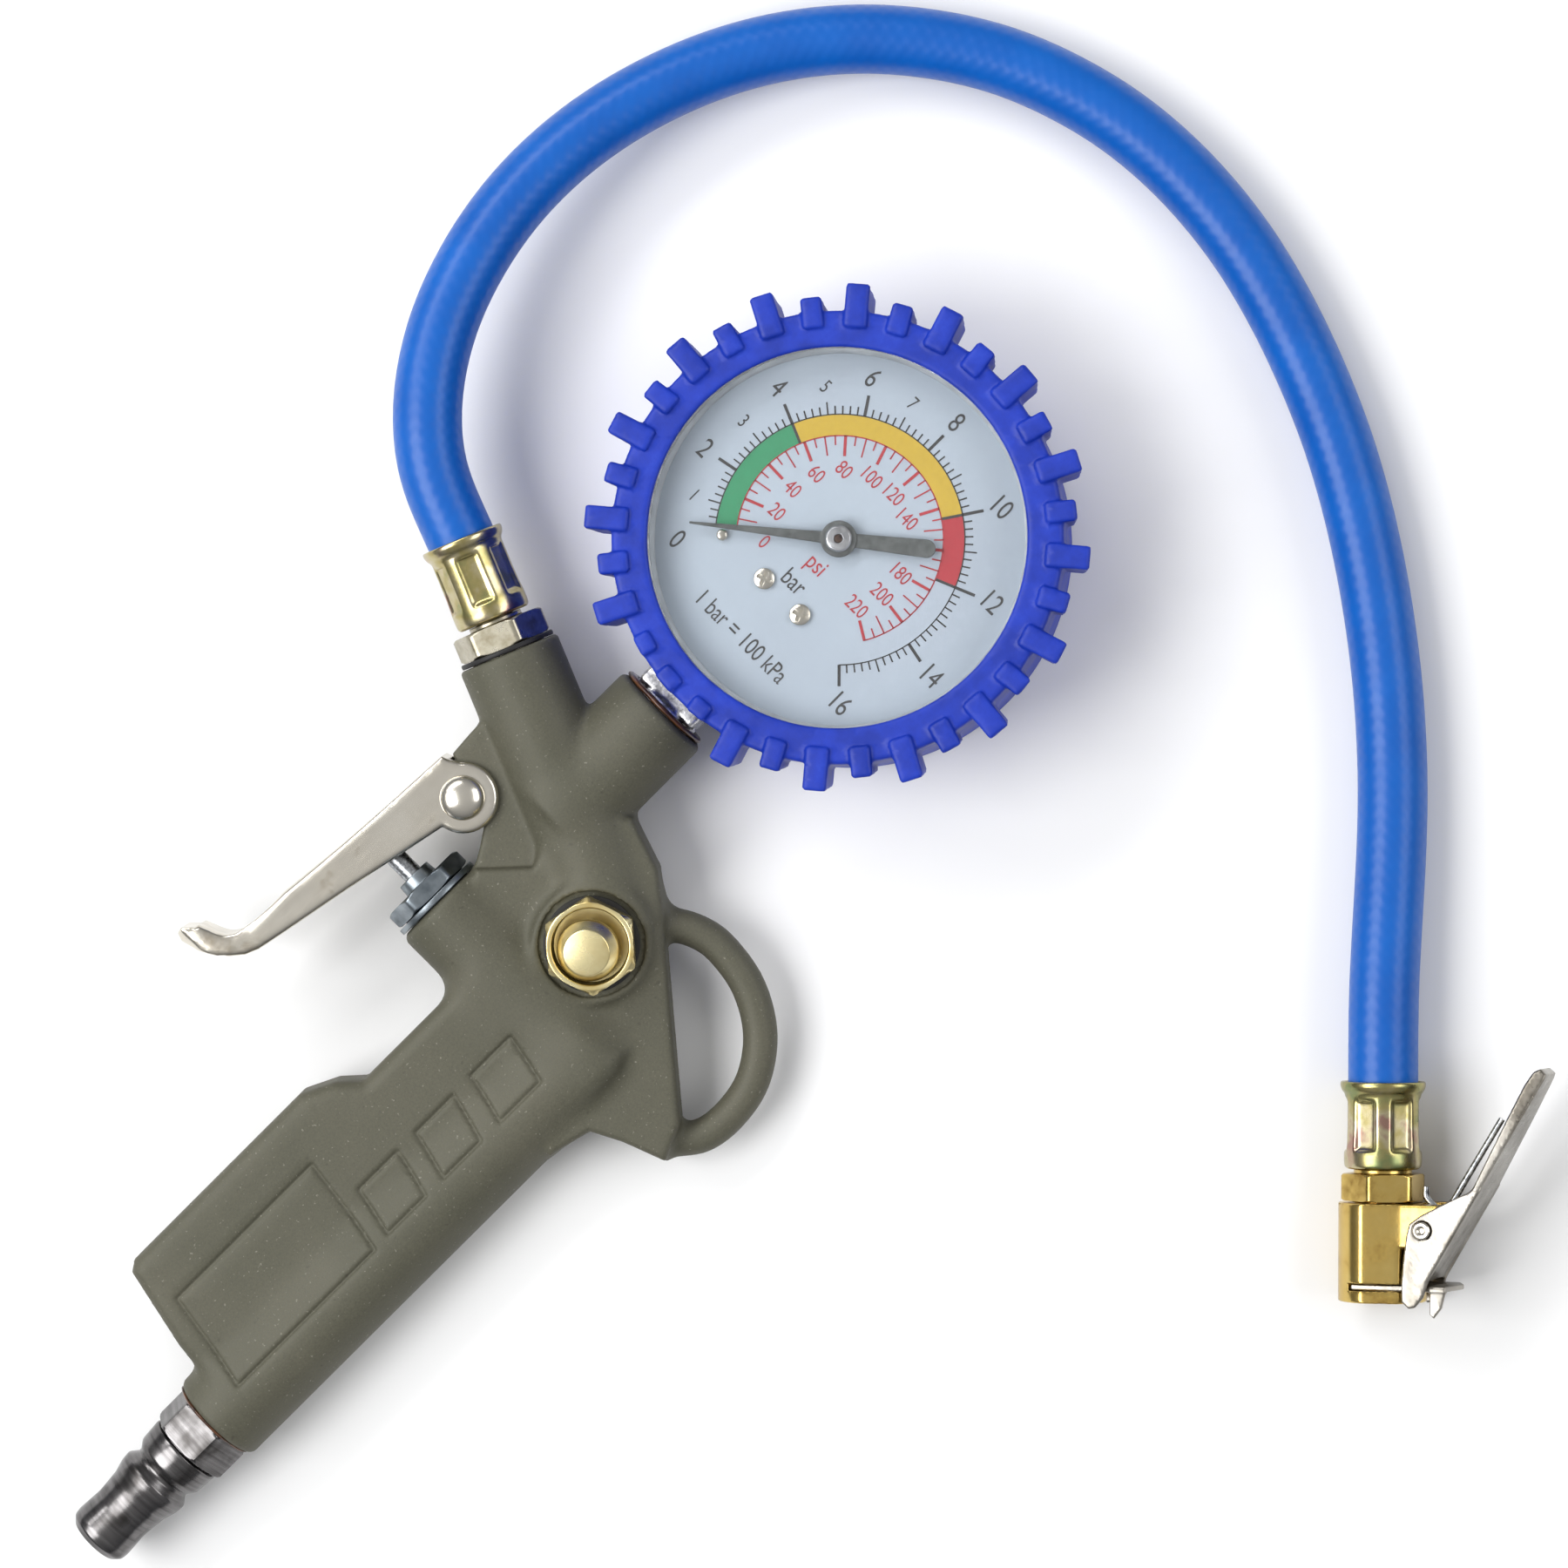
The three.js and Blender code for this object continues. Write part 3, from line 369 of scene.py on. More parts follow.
def sheared_nickel():
    """Nickel plate over rough pressed and sheared steel, as on the chuck's lever."""
    paint = Paint("hammered_nickel", Metallic=1.0)
    hammer = paint.noise(1100, 2, stretch=(1, 0.45, 1), turn=(0, 0, 0.5))
    paint.colour(paint.ramp(paint.noise(150, 3),
                            [(0.3, linear(122, 116, 106)), (0.7, linear(174, 170, 162))]))
    paint.rough(hammer, 0.24, 0.4)
    return paint.bump(hammer, 0.06, 0.7).material


def plug_steel():
    """Dark polished steel with turning lines, and grime in the hollows."""
    paint = Paint("turned_dark_steel", Metallic=1.0)
    lines = paint.noise(1400, 2, stretch=(1, 0.05, 0.05))
    grime = paint.noise(160, 3)
    clean = paint.ramp(lines, [(0.3, linear(84, 82, 82)), (0.7, linear(122, 120, 120))])
    paint.colour(paint.blend(paint.ramp(grime, [(0.3, 0.7), (0.48, 0.0)]), clean, linear(44, 41, 38)))
    paint.rough(grime, 0.32, 0.16)
    return paint.bump(lines, 0.01, 0.6).material


def bright_brass():
    paint = Paint("turned_brass", Metallic=1.0)
    tarnish = paint.noise(180, 4, roughness=0.6)
    lines = paint.noise(2200, 2, stretch=(1, 1, 0.15))
    stops = [(0.28, linear(150, 118, 58)), (0.48, linear(200, 170, 96)), (1, linear(222, 198, 128))]
    paint.colour(paint.ramp(tarnish, stops))
    paint.rough(paint.sum(tarnish, lines, 0.4), 0.34, 0.2)
    return paint.bump(lines, 0.012, 0.5).material


def boot_rubber():
    """Royal blue moulded rubber with a fine skin, slightly chalky where it has been rubbed."""
    paint = Paint("blue_boot_rubber", Specular_IOR_Level=0.4)
    rub = paint.noise(190, 4, roughness=0.65)
    stops = [(0.35, linear(8, 42, 152)), (0.6, linear(14, 50, 172)), (0.8, linear(26, 62, 184))]
    paint.colour(paint.ramp(rub, stops))
    paint.rough(rub, 0.42, 0.58)
    return paint.bump(paint.sum(paint.noise(2400, 2), rub, 0.8), 0.03, 0.5).material


def hose_blue():
    """Glossy blue hose. Its braid shows through as faint crossing ribs, on the hose's own u and v."""
    paint = Paint("blue_hose", Coat_Weight=0.08, Coat_Roughness=0.2, IOR=1.4)
    cloud = paint.noise(90, 3)
    paint.colour(paint.ramp(cloud, [(0.3, linear(0, 84, 172)), (0.7, linear(0, 92, 182))]))
    paint.rough(paint.noise(400, 2), 0.34, 0.42)
    skin = paint.add("ShaderNodeUVMap", uv_map="skin").outputs["UV"]
    ribs = []
    for turn in (0.62, -0.62):
        where = paint.add("ShaderNodeMapping", {"Vector": skin}, Rotation=(0, 0, turn))
        wave = paint.add("ShaderNodeTexWave", {"Vector": where.outputs["Vector"]}, Scale=0.16,
                         Distortion=0.0)
        ribs.append(wave.outputs["Fac"])
    return paint.bump(paint.sum(ribs[0], ribs[1], 1.0), 0.035, 0.6).material


def dial_white():
    """Pale enamel on the dial, with hardly visible grain and dust."""
    paint = Paint("dial_enamel")
    cloud = paint.noise(40, 2)
    dust = paint.ramp(paint.noise(900, 2), [(0.72, 0.0), (0.76, 0.35)])
    enamel = paint.ramp(cloud, [(0.3, linear(157, 168, 180)), (0.7, linear(163, 175, 187))])
    paint.colour(paint.blend(dust, enamel, linear(150, 164, 178)))
    paint.rough(cloud, 0.5, 0.6)
    return paint.bump(paint.noise(1200, 2), 0.004, 0.4).material


def printed_ink(name, *rgb):
    paint = Paint(name)
    low = tuple(0.9 * c for c in linear(*rgb))
    grain = paint.noise(1500, 2)
    paint.colour(paint.ramp(grain, [(0.3, low), (0.7, linear(*rgb))]))
    return paint.rough(grain, 0.45, 0.6).material


def clear_glass():
    """Clear glass that lets lamps through, so that the dial behind it is lit."""
    paint = Paint("gauge_glass", roughness=0.0, IOR=1.45, Transmission_Weight=1.0)
    smear = paint.noise(60, 3)
    paint.rough(smear, 0.0, 0.035)
    clear = paint.add("ShaderNodeBsdfTransparent")
    rays = paint.add("ShaderNodeLightPath")
    links = {0: rays.outputs["Is Shadow Ray"], 1: paint.shader.outputs[0], 2: clear.outputs[0]}
    mix = paint.add("ShaderNodeMixShader", links)
    paint.tree.links.new(mix.outputs[0], paint.tree.nodes["Material Output"].inputs["Surface"])
    return paint.material


CAST = cast_paint()
NICKEL = plated_steel()
HAMMERED = sheared_nickel()
# Bright plated casting with a pitted skin, as on the gauge's square shank.
SILVER = noise_paint("pitted_silver", (800, 3, 0.6), [(0.35, 140, 140, 142), (0.6, 224, 224, 226)],
                     (0.45, 0.25), (None, 0.12, 0.8), Metallic=1.0)
ZINC_GREY = noise_paint("grey_zinc", (300, 3), [(0.3, 96, 104, 110), (0.7, 150, 158, 164)],
                        (0.42, 0.28), ((1500, 2), 0.01, 0.5), Metallic=1.0)
PLUG = plug_steel()
BRASS = bright_brass()
PALE_BRASS = noise_paint("pale_polished_brass", (160, 3), [(0.3, 206, 182, 116), (0.6, 244, 230, 178)],
                         (0.34, 0.24), ((1800, 2), 0.008, 0.4), Metallic=1.0)
# Yellow-passivated zinc: a thin film that drifts between green, straw and rose.
ZINC = noise_paint("iridescent_zinc", (170, 3, 0.55),
                   [(0.32, 130, 138, 94), (0.45, 170, 158, 106), (0.56, 190, 180, 146),
                    (0.66, 168, 134, 120)],
                   (0.3, 0.2), ((1200, 2), 0.008, 0.5), Metallic=1.0)
FITTING = noise_paint("machined_nickel_brass", (220, 4, 0.6),
                      [(0.3, 128, 120, 98), (0.5, 176, 170, 152), (1, 200, 196, 184)],
                      (0.36, 0.22), ((1300, 3), 0.02, 0.5), Metallic=1.0)
BOOT = boot_rubber()
RUBBER = noise_paint("black_rubber", (300, 3), [(0.3, 20, 20, 21), (0.7, 38, 37, 37)],
                     (0.45, 0.65), ((1500, 2), 0.02, 0.5), Specular_IOR_Level=0.4)
# Thread sealant that has squeezed out and set: brown, glossy and lumpy.
SEALANT = noise_paint("thread_sealant", (500, 3), [(0.3, 38, 20, 12), (0.7, 96, 58, 30)],
                      (0.25, 0.5), (None, 0.15, 0.8), Coat_Weight=0.4)
HOSE = hose_blue()
CASE = noise_paint("drawn_case_steel", (120, 3), [(0.3, 150, 156, 162), (0.7, 186, 192, 198)],
                   (0.26, 0.4), ((900, 2), 0.01, 0.4), Metallic=0.9)
DIAL = dial_white()
POINTER = noise_paint("pointer_grey", (900, 3), [(0.3, 58, 62, 62), (0.7, 84, 88, 88)],
                      (0.4, 0.55), (None, 0.01, 0.4))
WIRE = noise_paint("spring_wire", (1500, 2), [(0.3, 120, 122, 126), (0.7, 196, 200, 204)],
                   (0.22, 0.34), Metallic=1.0)
SILVER_RIM = noise_paint("bright_rim", (700, 2), [(0.3, 196, 198, 202), (0.7, 232, 234, 238)],
                         (0.14, 0.24), Metallic=1.0)
LINER = noise_paint("liner_grey", (300, 2), [(0.3, 146, 152, 158), (0.7, 172, 178, 184)], (0.4, 0.55))
GLASS = clear_glass()
BLACK_INK = printed_ink("black_ink", 52, 52, 54)
RED_INK = printed_ink("red_ink", 166, 42, 52)
GREEN_INK = printed_ink("green_ink", 44, 134, 92)
YELLOW_INK = printed_ink("yellow_ink", 186, 157, 44)


# ------------------------------------------------------------ making pieces

CORNER_STEPS = 3
HEX_SHARPNESS = 70
CAST_SHARP = 60


def piece(name, vertices, faces, place, material, sharp=40):
    """A closed mesh from local millimetres, facing out, smooth but for edges sharper than sharp degrees."""
    mesh = bpy.data.meshes.new(name)
    mesh.from_pydata(vertices, [], faces)
    mesh.transform(place)
    shape = bmesh.new()
    shape.from_mesh(mesh)
    if shape.calc_volume(signed=True) < 0:
        bmesh.ops.reverse_faces(shape, faces=shape.faces)
    shape.to_mesh(mesh)
    shape.free()
    mesh.shade_smooth()
    mesh.set_sharp_from_angle(angle=math.radians(sharp))
    mesh.materials.append(material)
    obj = bpy.data.objects.new(name, mesh)
    bpy.context.scene.collection.objects.link(obj)
    return obj


def stand_for(obj, node):
    """The piece takes the CAD node's place and body."""
    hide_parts(node)
    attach(obj, body_of[node])
    return obj


def go_with(obj, node):
    """A piece of its own on the same body as the node."""
    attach(obj, body_of[node])
    return obj


def softened(profile, radius, closed=False):
    """The profile with each corner turned into a small curve."""
    points = [np.array(p, float) for p in profile]
    corners = range(len(points)) if closed else range(1, len(points) - 1)
    out = [] if closed else [points[0]]
    for i in corners:
        before, corner, after = points[i - 1], points[i], points[(i + 1) % len(points)]
        back, ahead = before - corner, after - corner
        reach = min(radius, 0.4 * np.linalg.norm(back), 0.4 * np.linalg.norm(ahead))
        start = corner + back / np.linalg.norm(back) * reach
        end = corner + ahead / np.linalg.norm(ahead) * reach
        for t in np.linspace(0, 1, CORNER_STEPS + 1):
            out.append((1 - t) ** 2 * start + 2 * t * (1 - t) * corner + t * t * end)
    return out if closed else out + [points[-1]]


def turned(name, profile, place, material, axis="X", sides=96, soft=0.15, closed=False, shape=None):
    """A piece turned from [radius, distance] pairs about an axis.

    shape(angle, distance, radius) may reshape it.
    """
    points = softened(profile, soft, closed) if soft else [np.array(p, float) for p in profile]
    angles = np.linspace(0, 2 * math.pi, sides, endpoint=False)
    vertices, rings = [], []
    for radius, distance in points:
        if radius < 1e-6:
            rings.append([len(vertices)])
            vertices.append((0.0, 0.0, distance))
            continue
        rings.append(list(range(len(vertices), len(vertices) + sides)))
        for angle in angles:
            r = shape(angle, distance, radius) if shape else radius
            vertices.append((r * math.cos(angle), r * math.sin(angle), distance))
    pairs = list(zip(rings, rings[1:])) + ([(rings[-1], rings[0])] if closed else [])
    faces = []
    for low, high in pairs:
        for i in range(sides):
            j = (i + 1) % sides
            if len(low) == 1 and len(high) > 1:
                faces.append((low[0], high[j], high[i]))
            elif len(high) == 1 and len(low) > 1:
                faces.append((low[i], low[j], high[0]))
            elif len(low) > 1:
                faces.append((low[i], low[j], high[j], high[i]))
    order = {"X": (2, 0, 1), "Y": (1, 2, 0), "Z": (0, 1, 2)}[axis]
    vertices = [tuple(v[i] for i in order) for v in vertices]
    return piece(name, vertices, faces, place, material)


def hexagonal(across_flats, turn):
    """A shape for turned(): the profile's radius, kept inside a hexagon with slightly soft corners.

    turn is the angle of a flat.
    """
    flats = [turn + k * math.pi / 3 for k in range(6)]

    def reach(angle, distance, radius):
        total = sum(max(0.0, math.cos(angle - flat)) ** HEX_SHARPNESS for flat in flats)
        return min(radius, across_flats / 2 / total ** (1 / HEX_SHARPNESS))

    return reach


class Grid:
    """Points in a box, in millimetres, that signed distances are worked out on. Below 0 is material."""

    def __init__(self, low, high, step):
        self.low, self.step = np.array(low, float), step
        counts = np.ceil((np.array(high) - self.low) / step).astype(int) + 1
        axes = [np.arange(n) * step + start for n, start in zip(counts, self.low)]
        self.x, self.y, self.z = np.meshgrid(*[a.astype(np.float32) for a in axes], indexing="ij",
                                             sparse=True)


def both(a, b, rounding=0.0):
    """Where both shapes are, with the edge between them rounded."""
    a, b = a + rounding, b + rounding
    return np.minimum(np.maximum(a, b), 0) + np.hypot(np.maximum(a, 0), np.maximum(b, 0)) - rounding


def melted(a, b, blend):
    """Either shape, with a fillet about blend wide where they meet."""
    h = np.clip(0.5 + 0.5 * (b - a) / blend, 0, 1)
    return b + (a - b) * h - blend * h * (1 - h)


def without(a, b, blend=0.0):
    """The first shape with the second taken out."""
    return -melted(-a, b, blend) if blend else np.maximum(a, -b)


def line_distance(x, y, points):
    """The distance from an open line through points, in its own plane."""
    distance = np.float32(1e9)
    for (ax, ay), (bx, by) in zip(points, points[1:]):
        ex, ey = bx - ax, by - ay
        t = np.clip(((x - ax) * ex + (y - ay) * ey) / (ex * ex + ey * ey), 0, 1)
        distance = np.minimum(distance, (x - ax - t * ex) ** 2 + (y - ay - t * ey) ** 2)
    return np.sqrt(distance)


def outline(x, y, points):
    """The signed distance from a closed outline, in its own plane."""
    closed = [*points, points[0]]
    inside = np.zeros(np.broadcast(x, y).shape, bool)
    for (ax, ay), (bx, by) in zip(closed, closed[1:]):
        if ay != by:
            inside ^= ((ay > y) != (by > y)) & (x < ax + (bx - ax) * (y - ay) / (by - ay))
    return np.where(inside, -1, 1) * line_distance(x, y, closed)


def slab(values, low, high):
    return np.abs(values - (low + high) / 2) - (high - low) / 2


def prism(g, points, low, high, rounding=0.0):
    return both(outline(g.x, g.y, points), slab(g.z, low, high), rounding)


def block(g, low, high, rounding=0.0):
    sides = both(slab(g.x, low[0], high[0]), slab(g.y, low[1], high[1]), rounding)
    return both(sides, slab(g.z, low[2], high[2]), rounding)


def tube(g, start, end, radius, rounding=0.0):
    start, end = np.array(start, float), np.array(end, float)
    length = np.linalg.norm(end - start)
    axis = (end - start) / length
    px, py, pz = g.x - start[0], g.y - start[1], g.z - start[2]
    along = px * axis[0] + py * axis[1] + pz * axis[2]
    radial = np.sqrt(np.maximum(px * px + py * py + pz * pz - along * along, 0)) - radius
    return both(radial, slab(along, 0, length), rounding)


def cast(name, g, values, place, material, flatness=0.0):
    """The surface where the distances are 0, as a piece. flatness merges faces where it is flat."""
    field = openvdb.FloatGrid()
    field.copyFromArray(np.ascontiguousarray(values, dtype=np.float32))
    points, triangles, quads = field.convertToPolygons(isovalue=0.0, adaptivity=flatness)
    vertices = points * g.step + g.low
    return piece(name, vertices.tolist(), triangles.tolist() + quads.tolist(), place, material, CAST_SHARP)


def arc(centre, radius, start, end, count):
    angles = np.radians(np.linspace(start, end, count))
    return [(centre[0] + radius * math.cos(a), centre[1] + radius * math.sin(a)) for a in angles]


def smooth_line(points, count):
    """Points evenly spread along a Catmull-Rom curve through points."""
    p = np.array(points, float)
    p = np.vstack([2 * p[0] - p[1], p, 2 * p[-1] - p[-2]])
    fine = []
    for i in range(1, len(p) - 2):
        a, b, c, d = p[i - 1 : i + 3]
        for t in np.linspace(0, 1, 24, endpoint=False):
            fine.append(b + 0.5 * t * (c - a + t * (2 * a - 5 * b + 4 * c - d + t * (3 * (b - c) + d - a))))
    fine = np.array([*fine, p[-2]])
    lengths = np.concatenate([[0], np.cumsum(np.linalg.norm(np.diff(fine, axis=0), axis=1))])
    even = np.linspace(0, lengths[-1], count)
    return np.stack([np.interp(even, lengths, fine[:, k]) for k in range(p.shape[1])], axis=1)


# ------------------------------------------------------------ gun

PANEL_DEPTH = 0.55
PANEL_WIDTH = 0.33
GROUND_GAP = 0.15


def panel_lines(g):
    """How near each point of the grip's side is to an engraved panel line."""
    panels = [
        [(11, 19), (43, 19), (40.6, 1.6), (8.2, 1.6)],
        [(45.5, 10.5), (54.7, 10.5), (53, 2), (44, 2)],
        [(59, 10.5), (68, 10.5), (66, 2), (57.2, 2)],
        [(72.3, 10.7), (81.6, 10.7), (80, 2), (70.5, 2)],
    ]
    return np.minimum.reduce([line_distance(g.x, g.y, [*panel, panel[0]]) for panel in panels])


def gun_bores(g):
    """The holes that the fittings and valves screw into, and the ways between them."""
    outlet = lambda distance: (*(np.array(OUTLET) + distance * OUTLET_ALONG), 0)
    valve = [(0, -6), (4.6, -6), (4.6, 4), (5.4, 4), (5.4, 22), (6.9, 22), (6.9, 36), (0, 36)]
    bleed = [(0, -3.6), (3.2, -3.6), (3.2, 1.8), (5.6, 1.8), (5.6, 7.2), (8.9, 7.2), (8.9, 12), (0, 12)]
    valve_hole = outline(np.hypot(g.x - VALVE_U, g.z), g.y,
                         [(-a, b) if a == 0 else (a, b) for a, b in valve])
    bleed_hole = outline(np.hypot(g.x - BLEED[0], g.y - BLEED[1]), g.z, bleed)
    holes = [
        tube(g, (-1, 0, 0), (12, 0, 0), BORE_R),
        tube(g, (11, 0, 0), (VALVE_U, 0, 0), 3.4),
        valve_hole,
        tube(g, outlet(-11), outlet(2), BORE_R),
        tube(g, outlet(-46), outlet(1), 3),
        tube(g, (126, STEM_V, 0), (BOSS_END + 1, STEM_V, 0), BORE_R),
        tube(g, (116, STEM_V, 0), (127, STEM_V, 0), 2),
        bleed_hole,
        tube(g, (*PIVOT, -9), (*PIVOT, 9), 2.2),
    ]
    return np.minimum.reduce(np.broadcast_arrays(*holes))


def make_gun_body():
    g = Grid((-1, -29, -10.4), (140, 62, 10.4), 0.34)
    grip = prism(
        g,
        [(4.8, -4), (86, -4), (86, 22.8), (58.8, 22.8), (55.3, 26), (49.7, 28.7), (10.2, 28.7), (8.4, 27.4),
         (5.2, 13), (4.8, 8.5)],
        -GRIP_HALF, GRIP_HALF, 2.6,
    )
    inlet = tube(g, (0, 0, 0), (90, 0, 0), GRIP_R, 1.2)
    values = melted(grip, inlet, 3.0)
    valve = tube(g, (VALVE_U, -5, 0), (VALVE_U, VALVE_TOP, 0), TUBE_R, 1.6)
    web = prism(
        g,
        [(72, -8), (79.5, -9.8), (82.2, -15), (84.9, -22.2), (91.2, -19.4), (109.8, 2.6), (114.5, 8),
         (118.5, 13), (121.5, 22), (112, 31), (104, 28), (97, 34.6), (90, 30), (80, 10)],
        -WEB_HALF, WEB_HALF, 1.2,
    )
    low, high = np.array(OUTLET) - 50 * OUTLET_ALONG, np.array(OUTLET)
    spine = tube(g, (*low, 0), (*high, 0), TUBE_R, 0.7)
    boss = tube(g, (112, STEM_V, 0), (BOSS_END, STEM_V, 0), TUBE_R + 0.3, 1.2)
    ear_outline = [*arc(PIVOT, 5.4, 95, 265, 12), (100, 36.5), (97, 34.8), (105, 26), (116, 40),
                   (117, 51.2),
                   (112, 51), (107.8, 50.7), (107.4, 49.6)]
    ear = prism(g, ear_outline, -EAR_HALF, EAR_HALF, 0.7)
    bleed_boss = tube(g, (*BLEED, 0), (*BLEED, 7.5), 9.7, 0.3)
    hook_line = smooth_line([(109, 8.8), (113, 5), (115.4, 0.8), (116.2, -4), (114.9, -11.5),
                             (110.8, -18.4),
                             (104.6, -23), (98, -24.5), (92, -23.8), (87.4, -20.5)], 48)
    hook = np.hypot(line_distance(g.x, g.y, hook_line.tolist()), g.z) - HOOK_R
    tubes = melted(spine, boss, 1.6)
    for part, blend in ((valve, 4.5), (web, 1.6), (tubes, 1.6), (ear, 0.9), (bleed_boss, 3.0), (hook, 2.0)):
        values = melted(values, part, blend)
    height = -GAUGE_FLOOR + (g.y - STEM_V) * GUN_RISE[0] + g.z * GUN_RISE[1]
    values = both(values, GROUND_GAP - height, 0.1)
    groove = PANEL_DEPTH * np.exp(-((panel_lines(g) / PANEL_WIDTH) ** 2))
    values = values + np.where(g.z > 0, groove, 0)
    values = without(values, gun_bores(g))
    return stand_for(cast("gun_body_cast", g, values, GUN, CAST, flatness=0.02), "gun_body")


def make_inlet_plug():
    profile = [[3.4, -29.3], [4.4, -29.3], [5.45, -28.2], [5.6, -27], [5.3, -22.6], [5.7, -18.4],
               [6.35, -16.2],
               [6.5, -14.5], [5.4, -13.1], [5.4, -12.5], [6.4, -11.1], [6.7, -7.2], [5.9, -6.9],
               [7.3, -6.6],
               [7.6, -6.1], [7.6, -0.8], [7.3, -0.4], [6.4, -0.4], [6.4, 10], [3.4, 10]]
    bounded = hexagonal(13.2, 0.26)
    shape = lambda angle, distance, radius: bounded(angle, distance, radius) if distance > -6.85 else radius
    plug = turned("inlet_plug_turned", profile, GUN, PLUG, closed=True, shape=shape, sides=96, soft=0.3)
    smear = turned("inlet_sealant", [[6.5, -0.35], [7.3, -0.5], [7.8, -0.1], [7.4, 0.2], [6.5, 0.2]], GUN,
                   SEALANT,
                   closed=True, shape=lambda a, d,
                   r: r - 0.2 + 0.5 * max(0, math.cos(a - 0.7)) ** 2 + 0.1 * math.sin(7 * a + 1))
    go_with(smear, "inlet_plug")
    return stand_for(plug, "inlet_plug")


def make_trigger():
    """A pressed channel: two cheeks, a rounded back and a tip that curls away from the grip."""
    g = Grid((52.5, 37, -6.6), (111.5, 63.5, 6.6), 0.22)
    side = [(106.3, 51.5), (95, 52.1), (85, 52.9), (71.7, 54.3), (66.2, 54), (62.9, 54), (60.3, 55.2),
            (59.1, 57.3),
            (57.8, 60.5), (55.7, 60.7), (55.2, 59.2), (55.8, 55.8), (57.6, 53.2), (59.8, 51.4), (62, 50.5),
            (66.9, 49.5), (80, 47), (90, 44.9), (97.8, 43.3), *arc(PIVOT, 6.0, 190, 410, 26)]
    inside = [(112, 50.2), (95, 50.9), (85, 51.5), (75, 52.2), (66, 53), (58, 52.6), (50, 40), (112, 30)]
    back = [(106.4, 51.6), (95, 52.2), (85, 52.8), (75, 53.5), (65, 54.4), (61.4, 55), (59.4, 56.2),
            (57.9, 58.4),
            (56.7, 61), (55.5, 62.2), (54.2, 62), (53.6, 60.6), (54.6, 57.4), (56.4, 54.6), (58.4, 53.2),
            (61, 53.4), (65, 52.9), (75, 52.1), (85, 51.4), (95, 50.9), (106.4, 50.4)]
    cheeks = without(prism(g, side, -LEVER_HALF, LEVER_HALF, 1.0),
                     prism(g, inside, SHEET - LEVER_HALF, LEVER_HALF - SHEET, 0.8), 0.4)
    rounded_tip = both(prism(g, back, -LEVER_HALF, LEVER_HALF, 0.45),
                       outline(g.x, g.z, [(53.4, -3.4), (55.4, -5.6), (112, -5.6), (112, 5.6),
                                                              (55.4, 5.6), (53.4, 3.4)]), 0.45)
    values = melted(cheeks, rounded_tip, 0.5)
    values = without(values, tube(g, (*PIVOT, -8), (*PIVOT, 8), 2.3))
    return stand_for(cast("trigger_pressed", g, values, GUN, NICKEL, flatness=0.02), "trigger_lever")


def make_rivet():
    dome = [(3.75 * math.cos(t), 5.95 + 1.95 * math.sin(t)) for t in np.linspace(0, math.pi / 2, 9)]
    foot = [(3.75 * math.cos(t), -5.95 - 1.2 * math.sin(t)) for t in np.linspace(math.pi / 2, 0, 9)]
    dome[-1], foot[0] = (0, dome[-1][1]), (0, foot[0][1])
    profile = [*foot, (1.95, -5.9), (1.95, 5.9), *dome]
    at = GUN @ Matrix.Translation((*PIVOT, 0))
    return stand_for(turned("trigger_rivet_domed", profile, at, NICKEL, "Z", 64, soft=0), "trigger_rivet")


def make_valve_parts():
    at = GUN @ Matrix.Translation((VALVE_U, 0, 0))
    nut = [[2.05, 33], [3.4, 33], [3.4, 24], [THREAD_R, 24], [THREAD_R, 36.3], [7.4, 36.3], [7.9, 36.6],
           [7.9, 38.8], [7.2, 39.2], [3.3, 39.2], [3.1, 41.2], [2.05, 41.2]]
    shape = hexagonal(FITTING_AF, 0.12)
    gland = turned("gland_nut_hex", nut, at, ZINC_GREY, "Y", 96, soft=0.2, closed=True, shape=shape)
    stand_for(gland, "valve_gland_nut")
    washer = [[6.8, 35.1], [8.25, 35.1], [8.25, 36.1], [6.8, 36.1]]
    stand_for(turned("gland_washer_flat", washer, at, ZINC_GREY, "Y", 96, soft=0.15, closed=True),
              "gland_washer")
    stem = [[0, 8.5], [4.1, 8.5], [4.1, 10.4], [1.75, 10.4], [1.75, 50.1], [1.2, 50.6], [0, 50.7]]
    stand_for(turned("valve_stem_ground", stem, at, WIRE, "Y", 48, soft=0.15), "valve_stem")


def make_bleed_valve():
    at = GUN @ Matrix.Translation((*BLEED, 0))
    bushing = [[2.4, 2.1], [5.3, 2.1], [5.3, 8.4], [7.3, 8.4], [8.3, 8.9], [8.3, 12.2], [7.2, 13],
               [6.5, 13],
               [6.3, 12.7], [6.3, 8.8], [2.4, 8.8]]
    shape = hexagonal(14.3, 0.33)
    hexagon = turned("bleed_bushing_hex", bushing, at, PALE_BRASS, "Z", 96, soft=0.15, closed=True,
                     shape=shape)
    stand_for(hexagon, "bleed_bushing")
    button = [[0, -0.9], [2.2, -0.9], [2.2, 0.5], [1.2, 0.5], [1.2, 11.8], [5.0, 11.8], [5.15, 12],
              [5.15, 13.2],
              [3.8, 15.1], [0, 15.2]]
    leaning = at @ Matrix.Translation((0, 0, 7)) @ Matrix.Rotation(math.radians(7), 4,
                                                                   Vector((0.3, -0.95, 0)))
    leaning = leaning @ Matrix.Translation((0, 0, -7))
    stand_for(turned("bleed_button_turned", button, leaning, PALE_BRASS, "Z", 96, soft=0.18),
              "bleed_button")
    # A black rubber washer under the hex; its black edge, in the gap round the hex, also stands in as painted
    # shade of that gap.
    washer = [[5.8, 7.5], [8.0, 7.5], [8.0, 8.1], [5.8, 8.1]]
    stand_for(turned("bleed_washer_flat", washer, at, RUBBER, "Z", 64, soft=0.1, closed=True),
              "bleed_washer")


